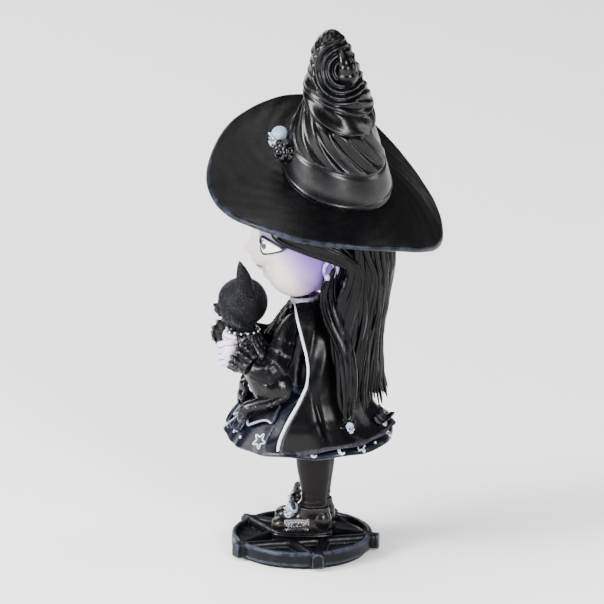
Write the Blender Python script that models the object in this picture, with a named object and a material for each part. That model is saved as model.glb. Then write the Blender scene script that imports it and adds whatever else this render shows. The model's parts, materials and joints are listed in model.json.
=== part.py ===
"""Resin witch figure holding a black cat, with a spring-mounted nodding head.

Lengths are in millimetres inside this file and turned into metres at the end.
The figure faces -Y, its left side is +X and +Z is up. The felt under the base is at z = 0.
"""

import math

import bpy
from mathutils import Matrix, Vector

for old in list(bpy.data.objects):
    bpy.data.objects.remove(old, do_unlink=True)

MM = 0.001
GAP = 0.35            # clearance between neighbouring pieces

# base
BASE_RADIUS = 26.0
BASE_TOP = 6.8
BASE_FLOOR = 4.2
FELT_THICKNESS = 0.8
STAR_RADIUS = 28.6
STAR_BAR = 3.6

# legs and shoes
LEG_X = 5.6
SOLE_TOP = 8.9
LEG_TOP = 48.0

# clothes
SKIRT_HEM = 45.0
SKIRT_TOP = 66.0
CLOAK_CENTRE_Y = 3.3
CAPE_THICKNESS = 1.4
NECK_Y = 0.7

# head and its spring
PIVOT_Z = 98.0
HEAD_CENTRE = (0.0, 4.0, 126.0)
HEAD_RADII = (22.3, 21.8, 24.0)
CHEEK = (8.6, -5.4, 112.3)
CHEEK_RADIUS = 11.2
BORE_RADIUS = 5.2
BORE_TOP = 110.0

# hat
BRIM_CENTRE = Vector((0.0, 12.2, 145.7))
BRIM_NORMAL = Vector((0.32, 0.28, 0.908)).normalized()
BRIM_RADIUS = 45.4
BRIM_THICKNESS = 1.8
BRIM_FLAT = 14.0      # inside this distance from its centre the brim doesn't bend
UNDER_BRIM = 2.4      # depth below the brim's middle line where the head and hair stop


def material(name, colour, roughness, metallic=0.0):
    mat = bpy.data.materials.new(name)
    mat.use_nodes = True
    shader = mat.node_tree.nodes["Principled BSDF"]
    shader.inputs["Base Color"].default_value = (*colour, 1.0)
    shader.inputs["Roughness"].default_value = roughness
    shader.inputs["Metallic"].default_value = metallic
    return mat


BLACK = ((0.012, 0.013, 0.017), 0.32)
SATIN = ((0.02, 0.021, 0.027), 0.42)
NAVY = ((0.018, 0.022, 0.04), 0.38)
STOCKING = ((0.022, 0.018, 0.018), 0.45)
SKIN = ((0.72, 0.66, 0.66), 0.45)
LILAC = ((0.6, 0.5, 0.66), 0.45)
SILVER = ((0.5, 0.56, 0.64), 0.35)
WHITE = ((0.75, 0.78, 0.82), 0.45)
GREY = ((0.55, 0.55, 0.56), 0.5)


def signed_volume(verts, faces):
    total = 0.0
    for face in faces:
        a = verts[face[0]]
        for i in range(1, len(face) - 1):
            total += a.dot(verts[face[i]].cross(verts[face[i + 1]]))
    return total


def make(name, verts, faces, look):
    verts = [Vector(v) for v in verts]
    if signed_volume(verts, faces) < 0:
        faces = [tuple(reversed(face)) for face in faces]
    mesh = bpy.data.meshes.new(name)
    mesh.from_pydata(verts, [], faces)
    mesh.update()
    obj = bpy.data.objects.new(name, mesh)
    bpy.context.scene.collection.objects.link(obj)
    colour, roughness = look[0], look[1]
    metallic = look[2] if len(look) > 2 else 0.0
    mesh.materials.append(material(name, colour, roughness, metallic))
    return obj


def loft(name, rings, look):
    """A closed body through rings of equal count, its two ends closed with fans."""
    count = len(rings[0])
    verts = [Vector(p) for ring in rings for p in ring]
    faces = []
    for i in range(len(rings) - 1):
        a, b = i * count, (i + 1) * count
        for k in range(count):
            n = (k + 1) % count
            faces += [(a + k, a + n, b + n), (a + k, b + n, b + k)]
    for ring, flip in ((0, True), (len(rings) - 1, False)):
        start = ring * count
        centre = sum((verts[start + k] for k in range(count)), Vector()) / count
        verts.append(centre)
        for k in range(count):
            n = (k + 1) % count
            face = (len(verts) - 1, start + k, start + n)
            faces.append(tuple(reversed(face)) if flip else face)
    return make(name, verts, faces, look)


def ellipse(cx, cy, z, rx, ry, count=24, turn=0.0):
    return [(cx + rx * math.cos(turn + 2 * math.pi * k / count),
             cy + ry * math.sin(turn + 2 * math.pi * k / count), z) for k in range(count)]


def ball(name, centre, radii, look, around=16, levels=9, shape=None):
    """An ellipsoid; shape, if given, moves each point of the unit ball first."""
    rings = []
    for i in range(1, levels):
        t = math.pi * i / levels
        ring = []
        for k in range(around):
            a = 2 * math.pi * k / around
            p = Vector((math.sin(t) * math.cos(a), math.sin(t) * math.sin(a), math.cos(t)))
            if shape:
                p = Vector(shape(p))
            ring.append([centre[j] + radii[j] * p[j] for j in range(3)])
        rings.append(ring)
    obj = loft(name, rings, look)
    mesh = obj.data
    total = len(mesh.vertices)
    for index, sign in ((total - 2, 1.0), (total - 1, -1.0)):
        p = Vector(shape(Vector((0, 0, sign)))) if shape else Vector((0, 0, sign))
        mesh.vertices[index].co = [centre[j] + radii[j] * p[j] for j in range(3)]
    return obj


def frames(path):
    """Two directions across a path at each of its points, carried along without twisting."""
    tangents = []
    for i in range(len(path)):
        a = path[max(i - 1, 0)]
        b = path[min(i + 1, len(path) - 1)]
        tangents.append((b - a).normalized())
    side = tangents[0].orthogonal().normalized()
    out = []
    for tangent in tangents:
        side = (side - tangent * side.dot(tangent)).normalized()
        out.append((side.copy(), tangent.cross(side)))
    return out


def smooth_path(points, steps):
    """A Catmull-Rom curve through the points, with any number of values per point."""
    out = []
    last = len(points) - 1
    for i in range(last):
        p = [points[max(i - 1, 0)], points[i], points[i + 1], points[min(i + 2, last)]]
        for s in range(steps):
            t = s / steps
            out.append([0.5 * (2 * b + (c - a) * t + (2 * a - 5 * b + 4 * c - d) * t * t
                               + (3 * b - a - 3 * c + d) * t ** 3)
                        for a, b, c, d in zip(*p)])
    out.append(list(points[-1]))
    return out


def tube(name, points, look, around=12, steps=4, flat=1.0, ripple=None):
    """A tube through (x, y, z, radius) points."""
    path = smooth_path(points, steps)
    line = [Vector(p[:3]) for p in path]
    rings = []
    for (side, up), centre, p in zip(frames(line), line, path):
        ring = []
        for k in range(around):
            a = 2 * math.pi * k / around
            r = p[3] * (ripple(a) if ripple else 1.0)
            ring.append(centre + side * (r * math.cos(a)) + up * (r * flat * math.sin(a)))
        rings.append(ring)
    return loft(name, rings, look)


def slab(name, outer, inner, us, vs, look, closed=False):
    """A sheet between two surfaces over a grid of u and v; closed joins the last u to the first."""
    nu, nv = len(us), len(vs)
    verts = [Vector(outer(u, v)) for v in vs for u in us]
    verts += [Vector(inner(u, v)) for v in vs for u in us]
    half = nu * nv
    faces = []

    def quad(a, b, c, d):
        faces.append((a, b, c))
        faces.append((a, c, d))

    spans = nu if closed else nu - 1
    for j in range(nv - 1):
        for i in range(spans):
            n = (i + 1) % nu
            a, b = j * nu + i, j * nu + n
            c, d = (j + 1) * nu + n, (j + 1) * nu + i
            quad(a, b, c, d)
            quad(half + d, half + c, half + b, half + a)
    for i in range(spans):
        n = (i + 1) % nu
        quad(n, i, half + i, half + n)
        top = (nv - 1) * nu
        quad(top + i, top + n, half + top + n, half + top + i)
    if not closed:
        for j in range(nv - 1):
            a, d = j * nu, (j + 1) * nu
            quad(a, d, half + d, half + a)
            b, c = a + nu - 1, d + nu - 1
            quad(c, b, half + b, half + c)
    return make(name, verts, faces, look)


def inflated(obj, gap):
    """A copy of a body's mesh grown outward by the gap, to cut a neighbour with."""
    mesh = obj.data.copy()
    normals = [v.normal.copy() for v in mesh.vertices]
    for vert, normal in zip(mesh.vertices, normals):
        vert.co += normal * gap * 1.25
    copy = bpy.data.objects.new("cutter", mesh)
    bpy.context.scene.collection.objects.link(copy)
    return copy


def islands(mesh):
    parent = list(range(len(mesh.vertices)))

    def find(a):
        while parent[a] != a:
            parent[a] = parent[parent[a]]
            a = parent[a]
        return a

    for edge in mesh.edges:
        a, b = find(edge.vertices[0]), find(edge.vertices[1])
        parent[a] = b
    return [find(i) for i in range(len(mesh.vertices))]


def apply_boolean(obj, tool, operation):
    for solver, bends_into_itself in (("MANIFOLD", False), ("EXACT", False), ("EXACT", True)):
        modifier = obj.modifiers.new("cut", "BOOLEAN")
        modifier.operation = operation
        modifier.solver = solver
        modifier.use_self = bends_into_itself
        modifier.object = tool
        graph = bpy.context.evaluated_depsgraph_get()
        graph.update()
        mesh = bpy.data.meshes.new_from_object(obj.evaluated_get(graph))
        obj.modifiers.clear()
        if len(mesh.polygons) > 0.3 * len(obj.data.polygons):
            break
    obj.data = mesh
    bpy.data.objects.remove(tool, do_unlink=True)


def keep_largest(obj):
    """Drops the slivers that a cut leaves loose."""
    mesh = obj.data
    group = islands(mesh)
    volume = {}
    for poly in mesh.polygons:
        key = group[poly.vertices[0]]
        a = mesh.vertices[poly.vertices[0]].co
        for i in range(1, len(poly.vertices) - 1):
            b = mesh.vertices[poly.vertices[i]].co
            c = mesh.vertices[poly.vertices[i + 1]].co
            volume[key] = volume.get(key, 0.0) + a.dot(b.cross(c))
    if len(volume) < 2:
        return
    best = max(volume, key=volume.get)
    kept = [i for i in range(len(mesh.vertices)) if group[i] == best]
    index = {v: n for n, v in enumerate(kept)}
    faces = [[index[v] for v in p.vertices] for p in mesh.polygons
             if group[p.vertices[0]] == best]
    fresh = bpy.data.meshes.new(mesh.name)
    fresh.from_pydata([mesh.vertices[i].co.copy() for i in kept], [], faces)
    for mat in mesh.materials:
        fresh.materials.append(mat)
    obj.data = fresh


def carve(obj, tools, gap=GAP):
    for tool in tools:
        apply_boolean(obj, inflated(tool, gap), "DIFFERENCE")
    keep_largest(obj)


def join(obj, *others):
    for other in others:
        apply_boolean(obj, other, "UNION")


def prism(name, outline, low, high, look):
    rings = [[(x, y, z) for x, y in outline] for z in (low, high)]
    return loft(name, rings, look)


# ---------------------------------------------------------------- base

def build_base():
    prism("base_felt_pad", [(24 * math.cos(math.radians(7.5 * k)), 24 * math.sin(math.radians(7.5 * k)))
                            for k in range(48)], 0, FELT_THICKNESS, ((0.02, 0.02, 0.02), 0.95))
    low = FELT_THICKNESS + 0.3
    circle = [math.radians(6 * k) for k in range(60)]
    floor = prism("base_plate", [(BASE_RADIUS * math.cos(a), BASE_RADIUS * math.sin(a)) for a in circle],
                  low, BASE_TOP, NAVY)
    pocket = prism("pocket", [((BASE_RADIUS - 2.2) * math.cos(a), (BASE_RADIUS - 2.2) * math.sin(a))
                              for a in circle], BASE_FLOOR, BASE_TOP + 5, NAVY)
    apply_boolean(floor, pocket, "DIFFERENCE")
    tips = [Vector((math.cos(math.radians(90 + 72 * k)), math.sin(math.radians(90 + 72 * k))))
            * (STAR_RADIUS - 1.0) for k in range(5)]
    for k in range(5):
        a, b = tips[k], tips[(k + 2) % 5]
        along = (b - a).normalized()
        side = Vector((-along.y, along.x)) * STAR_BAR / 2
        a, b = a - along * 1.0, b + along * 1.0
        bar = prism("bar", [a + side, a - side, b - side, b + side], low + 0.11 * (k + 1),
                    BASE_TOP - 0.03 * (k + 1), NAVY)
        apply_boolean(floor, bar, "UNION")
    return floor


# ---------------------------------------------------------------- shoes and legs

def shoe_outline(x, grow, front=-10.7, back=11.8, count=22):
    """The plan of a shoe: a round toe and a narrower heel."""
    pts = []
    for k in range(count):
        a = 2 * math.pi * k / count
        t = (1 - math.sin(a)) / 2
        y = front + (back - front) * (1 - t)
        half = 4.25 * (1 - 0.22 * (1 - t)) * (abs(math.cos(a)) ** 0.75)
        middle = (front + back) / 2
        pts.append((x + (half + grow) * (1 if math.cos(a) >= 0 else -1) * (1 if half > 0.02 else 0),
                    y + grow * (y - middle) / (back - front) * 2))
    return pts


def build_foot(side, sign):
    x = sign * LEG_X
    prism(f"{side}_shoe_sole", shoe_outline(x, 0.35), BASE_TOP + 0.3, SOLE_TOP, NAVY)
    rings = []
    for z, front, back, grow in ((SOLE_TOP + 0.3, -10.3, 11.6, 0.0), (10.8, -10.5, 11.7, 0.15),
                                 (12.6, -9.8, 11.6, 0.0), (13.8, -7.6, 11.4, -0.4),
                                 (14.8, -3.2, 11.2, -0.5), (16.4, -1.2, 10.9, -0.3),
                                 (18.4, -0.6, 10.6, -0.1)):
        rings.append([(px, py, z) for px, py in shoe_outline(x, grow, front, back)])
    shoe = loft(f"{side}_shoe", rings, BLACK)
    leg = []
    for z, y, rx, ry in ((18.8, 5.0, 3.4, 4.5), (24, 5.2, 3.6, 4.8), (29, 5.2, 4.2, 5.6),
                         (34, 5.0, 4.7, 6.3), (39, 4.7, 4.9, 6.4), (44, 4.4, 4.7, 6.0),
                         (LEG_TOP, 4.3, 4.5, 5.6)):
        leg.append(ellipse(x, y, z, rx, ry, 16))
    loft(f"{side}_leg", leg, STOCKING)
    buckle = ball(f"{side}_skull_buckle", (x, -2.4, 17.2), (2.7, 1.8, 3.7), SILVER, 12, 8)
    carve(buckle, [shoe])


# ---------------------------------------------------------------- clothes

CAPE_PROFILE = ((97.4, 5.7), (96.4, 7.0), (95.2, 8.6), (93.5, 10.8), (91, 13.4), (87, 15.6),
                (80, 17.6), (70, 19.6),
                (62, 21.3), (57, 22.8), (52, 25.8), (48.5, 28.8), (46, 30.9))
CAPE_EDGE = ((97.6, -2.0), (92.7, 0.2), (88.6, 1.9), (80.5, 4.4), (75.3, 5.2), (69.3, 4.7), (62.9, 1.9),
             (55.6, -2.2), (50.3, -4.6), (46.1, -5.2))
CAPE_TOP = 96.8


def read(table, z):
    """The value at height z from a table of falling heights."""
    if z >= table[0][0]:
        return table[0][1]
    for (za, a), (zb, b) in zip(table, table[1:]):
        if z >= zb:
            return b + (a - b) * (z - zb) / (za - zb)
    return table[-1][1]


def cape_edge_angle(z):
    """Half the angle of the cape's front opening, measured from the front."""
    r = read(CAPE_PROFILE, z)
    return math.acos(max(-1, min(1, (CLOAK_CENTRE_Y - read(CAPE_EDGE, z)) / r)))


def around_body(angle, r, z, cy=CLOAK_CENTRE_Y):
    """A point at an angle from the front, positive toward the figure's left."""
    return (r * math.sin(angle), cy - r * math.cos(angle), z)


def cape_point(u, z, inward=0.0):
    edge = cape_edge_angle(z)
    angle = edge + (2 * math.pi - 2 * edge) * u
    fall = max(0.0, min(1.0, (66 - z) / 20))
    r = read(CAPE_PROFILE, z) + fall * 0.55 * math.cos(7 * (angle - math.pi)) - inward
    return around_body(angle, r, z + 0.5 * fall * math.cos(5 * (angle - math.pi)))


def build_cape():
    us = [i / 24 for i in range(25)]
    zs = [CAPE_TOP, 95.2, 93.5, 91, 87, 80, 72, 64, 58, 54, 50, 46]
    cape = slab("cape", lambda u, z: cape_point(u, z), lambda u, z: cape_point(u, z, CAPE_THICKNESS),
                us, zs, BLACK)
    pipings = []
    for side, sign in (("left", 1), ("right", -1)):
        pts = []
        for z in (96.2, 94.6, 91, 87, 82, 76, 70, 64, 59, 55, 51.5, 47.2):
            r = read(CAPE_PROFILE, z) - CAPE_THICKNESS / 2
            angle = cape_edge_angle(z) - 1.05 / r
            x, y, zz = around_body(sign * angle, r, z)
            pts.append((x, y, zz, 0.5))
        piping = tube(f"{side}_cape_piping", pts, WHITE, 6, 2)
        carve(piping, [cape], 0.2)
        pipings.append(piping)
    return cape, pipings


def skirt_radius(angle, z):
    t = (SKIRT_TOP - z) / (SKIRT_TOP - SKIRT_HEM)
    free = 14.5 + 17.0 * t ** 0.8
    wave = max(0.0, t - 0.25) * 1.1 * math.cos(9 * angle)
    edge = cape_edge_angle(z)
    tucked = read(CAPE_PROFILE, z) - CAPE_THICKNESS - 1.25
    a = abs((angle + math.pi) % (2 * math.pi) - math.pi)
    blend = max(0.0, min(1.0, (edge - 0.07 - a) / 0.16))
    low = min(free + wave, tucked)
    return low + (free + wave - low) * blend


def build_skirt(cat):
    count = 36
    rings = []
    for z, share in ((49.0, 0.35), (48.2, 0.62), (46.6, 0.9), (SKIRT_HEM, 0.965)):
        rings.append([around_body(2 * math.pi * k / count, skirt_radius(2 * math.pi * k / count, 45) * share,
                                  z + (0.5 * math.cos(9 * 2 * math.pi * k / count) if share > 0.8 else 0))
                      for k in range(count)])
    for z in (SKIRT_HEM, 48, 51.5, 55.5, 60, 64, SKIRT_TOP):
        sway = max(0.0, (50 - z) / 5)
        lip = 0.25 if z == SKIRT_HEM else 0.0
        rings.append([around_body(2 * math.pi * k / count, skirt_radius(2 * math.pi * k / count, z),
                                  z + 0.5 * sway * math.cos(9 * 2 * math.pi * k / count) + lip)
                      for k in range(count)])
    skirt = loft("skirt", rings, NAVY)

    def scallop(angle):
        return math.pi * (abs(math.degrees(angle)) - 43) / 28

    def hem(angle):
        return 53.8 + 2.7 * abs(math.sin(scallop(angle)))

    def layer(extra):
        def point(angle, v):
            z = hem(angle) + (SKIRT_TOP - 0.4 - hem(angle)) * v
            return around_body(angle, skirt_radius(0.0, z) + 0.35 + extra
                               + max(0.0, 0.6 - v) * 0.9 * abs(math.cos(scallop(angle))), z)
        return point

    angles = [math.radians(-62 + 124 * i / 30) for i in range(31)]
    over = slab("overskirt", layer(1.9), layer(0.9), angles, [0, 0.35, 0.7, 1.0], BLACK)
    piping = tube("overskirt_piping", [(*layer(2.75)(math.radians(-60 + 120 * i / 30), 0.02), 0.45)
                                       for i in range(31)], WHITE, 6, 1)
    carve(skirt, [cat["body"], cat["tail"]])
    carve(over, [cat["body"], cat["tail"], skirt])
    carve(piping, [cat["body"], cat["tail"], over], 0.15)
    return skirt, over


def build_torso(cat, skirt):
    rings = []
    for z, cy, rx, ry in ((SKIRT_TOP + 0.35, -3.6, 12.0, 14.2), (70, -3.6, 11.8, 13.4),
                          (75, -2.8, 11.2, 11.6), (80, -1.6, 10.8, 9.8), (85, -0.4, 11.0, 8.6),
                          (89, 0.4, 10.4, 7.6), (91.5, 0.6, 8.2, 6.6), (93.2, NECK_Y, 6.2, 5.8)):
        rings.append(ellipse(0, cy, z, rx, ry, 24))
    torso = loft("torso", rings, BLACK)
    carve(torso, [cat["body"]])
    return torso


# ---------------------------------------------------------------- cat

def build_cat():
    body = tube("cat_body", [(13.5, -6.5, 61.5, 5.6), (13.2, -8.2, 64, 7.6), (12.2, -11.5, 70, 7.4),
                             (10.6, -15.2, 77, 6.4), (9.8, -18.6, 83.5, 5.3), (9.2, -20.2, 86.6, 4.4)],
                BLACK, 16, 3)
    collar = slab("cat_collar",
                  lambda a, z: (9.0 + 6.1 * math.cos(a), -20.9 + 6.1 * math.sin(a), z - 0.12 * math.sin(a)),
                  lambda a, z: (9.0 + 4.9 * math.cos(a), -20.9 + 4.9 * math.sin(a), z - 0.12 * math.sin(a)),
                  [2 * math.pi * k / 20 for k in range(20)], [86.6, 88.2], SILVER, True)
    head = ball("cat_head", (9.0, -21.0, 98.0), (9.2, 9.3, 9.2), SATIN, 20, 12,
                lambda p: (p.x * (1.0 - 0.1 * max(0, p.z)), p.y * (1.06 if p.y < 0 else 1.0), p.z))
    carve(collar, [body, head], 0.3)
    for side, sign in (("left", 1), ("right", -1)):
        x = 9.0 + sign * 4.2
        rings = []
        for z, rx, ry, dx, dy in ((101.0, 3.9, 4.2, 0, 0.6), (105.0, 3.4, 3.8, 0.2, 0.4),
                                  (108.4, 2.4, 2.6, 0.4, 0.0),
                                  (111.2, 1.2, 1.4, 0.7, -0.4), (113.0, 0.4, 0.4, 0.9, -0.7)):
            rings.append(ellipse(x + sign * dx, -21.0 + dy, z, rx, ry, 12))
        ear = loft(f"cat_{side}_ear", rings, SATIN)
        carve(ear, [head], 0.25)
    tail = tube("cat_tail", [(16.2, -1.2, 69.8, 1.9), (18.6, -5.0, 65.6, 2.2), (19.6, -10.0, 62.9, 2.3),
                             (19.2, -14.8, 61.6, 2.3), (18.2, -18.4, 60.0, 2.3), (17.8, -20.0, 56.6, 2.2),
                             (17.8, -20.2, 53.8, 1.6)], SATIN, 10, 3)
    carve(tail, [body], 0.3)
    return {"body": body, "head": head, "tail": tail, "collar": collar}


# ---------------------------------------------------------------- arms

def build_arms(cat, torso, cloak, skirt, over):
    hand_l = ball("left_hand", (10.4, -26.0, 79.4), (5.6, 3.8, 5.4), LILAC, 16, 10)
    hand_r = ball("right_hand", (4.4, -26.6, 83.4), (5.4, 2.9, 3.0), LILAC, 14, 8)
    carve(hand_l, [cat["body"]])
    carve(hand_r, [cat["body"], cat["head"], cat["collar"], hand_l])
    frill = lambda a: 1.0 + 0.09 * math.cos(7 * a)
    cuff_l = tube("left_cuff", [(18.2, -16.2, 76.0, 3.8), (17.2, -18.2, 77.2, 4.7), (16.0, -20.2, 78.4, 5.3),
                                (15.2, -21.6, 79.2, 5.6)], SATIN, 28, 2, 1.0, frill)
    cuff_r = tube("right_cuff", [(-7.4, -25.0, 82.0, 3.2), (-4.4, -26.8, 82.3, 4.1),
                                 (-1.4, -28.0, 82.5, 4.8)],
                  SATIN, 28, 2, 1.0, frill)
    carve(cuff_l, [cat["body"], hand_l, hand_r])
    carve(cuff_r, [cat["body"], hand_l, hand_r, cat["head"]])
    arm_l = tube("left_sleeve", [(10.2, -4.0, 89.4, 3.0), (12.0, -4.6, 86.4, 4.0), (15.4, -5.8, 81.5, 4.6),
                                 (18.6, -7.4, 77.2, 4.9), (20.0, -10.0, 75.0, 4.8), (19.6, -13.2, 74.8, 4.3),
                                 (18.4, -16.2, 75.8, 3.7)], SATIN, 14, 3)
    arm_r = tube("right_sleeve", [(-10.2, -4.0, 89.4, 3.0), (-12.4, -4.8, 86, 4.2), (-17.2, -8.2, 79.5, 4.8),
                                  (-16.6, -13.0, 76.8, 4.4), (-12.6, -19.6, 79.2, 3.8),
                                  (-8.4, -24.2, 81.6, 3.0)],
                 SATIN, 14, 3)
    carve(arm_l, [cat["body"], hand_l, cuff_l, torso, *cloak])
    carve(arm_r, [cat["body"], hand_r, cuff_r, torso, *cloak])
    panel = slab("bodice_panel",
                 lambda a, v: (20.0 * math.sin(a), -2.0 - (17.4 + 3.4 * v) * math.cos(a), 63.6 + 7.4 * v),
                 lambda a, v: (18.9 * math.sin(a), -2.0 - (16.3 + 3.4 * v) * math.cos(a), 63.6 + 7.4 * v),
                 [math.radians(-30 + 6 * i) for i in range(11)], [0, 0.5, 1.0], GREY)
    carve(panel, [torso, cat["body"], hand_l, cuff_l, over, skirt])
    loft_rings = []
    for z, y, w, d in ((93.6, -6.4, 2.2, 1.0), (91.5, -8.6, 4.2, 1.5), (88.6, -10.2, 5.6, 1.6),
                       (85.8, -11.4, 4.4, 1.5), (83.6, -12.2, 1.6, 0.9)):
        loft_rings.append([(-1.5 + px, py, pz + 0.5 * math.sin(4 * k)) for k, (px, py, pz)
                           in enumerate(ellipse(0, y, z, w, d, 18))])
    jabot = loft("jabot", loft_rings, BLACK)
    carve(jabot, [torso, cat["body"], cat["head"], arm_l, arm_r])
    bow = ball("front_bow", (0.0, -21.0, 60.6), (7.2, 2.8, 3.8), BLACK, 20, 9,
               lambda p: (p.x, p.y * (0.45 + 0.75 * abs(p.x)), p.z * (0.42 + 0.85 * abs(p.x))))
    carve(bow, [skirt, over, panel, torso, cat["body"]])
    return bow


# ---------------------------------------------------------------- neck and spring

def ring_band(name, cy, inner, outer, low, high, look, count=24):
    def at(r):
        return lambda a, z: (r * math.cos(a), cy + r * math.sin(a), z)
    return slab(name, at(outer), at(inner), [2 * math.pi * k / count for k in range(count)],
                [low, high], look, True)


def build_neck(cloak):
    ring_band("choker", NECK_Y, 3.7, 4.6, 93.6, 95.7, BLACK)
    def rim(r):
        return lambda a, v: (r * math.cos(a) * (1 + 0.05 * v), 1.1 + r * math.sin(a) * (1 + 0.05 * v),
                             96.0 + v * (2.4 + 0.45 * math.sin(a)))

    collar = slab("neck_collar", rim(5.4), rim(4.4), [2 * math.pi * k / 28 for k in range(28)], [0, 1],
                  LILAC, True)
    carve(collar, cloak, 0.25)
    turns, steps = 3.0, 12
    coil = []
    for i in range(int(turns * steps) + 1):
        a = 2 * math.pi * i / steps
        coil.append((3.0 * math.cos(a), NECK_Y + 3.0 * math.sin(a), 94.2 + 3.0 * i / (turns * steps), 0.36))
    tube("neck_spring", coil, SILVER, 6, 1)
    rings = [ellipse(0, NECK_Y, z, r, r, 18)
             for z, r in ((98.05, 3.0), (99.0, 3.0), (99.05, 1.4), (105.0, 1.4))]
    loft("spring_cap", rings, SILVER)
    rings = [ellipse(0, NECK_Y, z, r, r, 18) for z, r in ((105.4, 3.6), (106.2, 4.6), (109.0, 4.6))]
    loft("head_plug", rings, GREY)


# ---------------------------------------------------------------- head

def head_scale(z):
    t = abs(z - HEAD_CENTRE[2]) / HEAD_RADII[2]
    return max(0.0, 1 - min(1.0, t) ** 2.5) ** 0.4


def cheek_reach(angle, z):
    """How far the round cheeks stand out from the head's middle line."""
    toward = CHEEK[0] * abs(math.sin(angle)) - CHEEK[1] * math.cos(angle)
    inside = toward ** 2 - CHEEK[0] ** 2 - CHEEK[1] ** 2 + CHEEK_RADIUS ** 2 - (z - CHEEK[2]) ** 2
    return toward + math.sqrt(inside) if inside > 0 else 0.0


def head_point(angle, z, extra=0.0):
    """A point of the face and skull at an angle from the front, positive toward the figure's left."""
    s = head_scale(z)
    fuller = max(0.0, cheek_reach(angle, z) - HEAD_RADII[1] * s)
    x = (HEAD_RADII[0] * s + extra + fuller) * math.sin(angle)
    y = HEAD_CENTRE[1] - (HEAD_RADII[1] * s + extra + fuller) * math.cos(angle)
    if math.cos(angle) > 0:
        nose = 4.2 * math.exp(-((z - 115.6) / 2.3) ** 2) * math.exp(-(x / 2.2) ** 2)
        chin = 3.8 * math.exp(-((z - 104.9) / 2.6) ** 2) * math.exp(-(x / 5.4) ** 2)
        muzzle = 3.2 * math.exp(-((z - 111.0) / 3.0) ** 2) * math.exp(-(x / 6.2) ** 2)
        y -= nose + chin + muzzle
    return (x, y, z)


def brim_at(r, a, lift):
    """A point of the brim; angle 0 is the figure's right and 90 degrees its front."""
    u = BRIM_NORMAL.cross(Vector((0, 1, 0))).normalized()
    v = BRIM_NORMAL.cross(u)
    share = max(0.0, min(1.0, (r - BRIM_FLAT) / (BRIM_RADIUS - BRIM_FLAT))) ** 1.6
    bend = (-5.7 + 2.4 * (math.sin(a) - math.cos(a)) + 5.8 * math.cos(2 * a) + 5.1 * math.sin(2 * a)
            + 0.7 * math.cos(5 * a))
    edge = r * (1 + 0.01 * math.cos(3 * a + 1))
    across = u * (edge * math.cos(a)) + v * (edge * math.sin(a))
    return BRIM_CENTRE + across + BRIM_NORMAL * (lift + share * bend)


def below_brim(offset):
    """A big block that follows the brim's underside, to cut the head and hair with."""
    rings = []
    levels = [(2, 60), (62, 60)] + [(r, -offset) for r in (62, 46, 40, 34, 28, 22, 16, 8, 2)]
    for r, lift in levels:
        rings.append([brim_at(r, 2 * math.pi * k / 48, lift) for k in range(48)])
    return loft("roof", rings, BLACK)


def build_head():
    count = 28
    rings = []
    for z, r in ((BORE_TOP, BORE_RADIUS), (103.6, BORE_RADIUS), (103.4, 2.9), (99.9, 2.9),
                 (99.9, 4.1), (101.6, 4.1)):
        rings.append([(r * math.sin(2 * math.pi * k / count), NECK_Y - r * math.cos(2 * math.pi * k / count),
                       z)
                      for k in range(count)])
    for z in (102.5, 103.3, 105, 107.2, 109.8, 112.4, 115.6, 118, 121, 125, 130, 135, 140, 144.5,
              147.8, 149.4):
        rings.append([head_point(2 * math.pi * k / count, z) for k in range(count)])
    head = loft("head", rings, SKIN)
    apply_boolean(head, below_brim(UNDER_BRIM + 0.2), "DIFFERENCE")
    ears = []
    for side, sign in (("left", 1), ("right", -1)):
        ear = ball(f"{side}_ear", (sign * 21.4, 12.6, 116.0), (2.6, 3.4, 4.6), LILAC, 12, 8)
        carve(ear, [head], 0.2)
        ears.append(ear)
        x, y, z = head_point(sign * math.radians(44), 121.4)
        eye = ball(f"{side}_eye", (x, y, z), (3.2, 3.0, 3.4), WHITE, 16, 8)
        carve(eye, [head], 0.15)
    return head, ears


HAIR_OUTER = ((152, 36.0), (130, 35.6), (112, 34.6), (100, 32.4), (88, 30.8), (77, 30.2), (66, 31.2),
              (57, 33.0))


def hair_sheet(angle, z, inward):
    """The hanging hair: angle from straight back, positive toward the figure's left."""
    back = read(HAIR_OUTER, z)
    cy = 7.0
    ry = back - cy - inward
    rx = 26.2 - inward + (0.5 if z < 70 else 0.0)
    groove = 0.5 * math.cos(16 * angle + 0.05 * z)
    if inward > 0.01:
        groove = 0.0
    return ((rx + groove) * math.sin(angle), cy + (ry + groove) * math.cos(angle), z)


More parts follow.
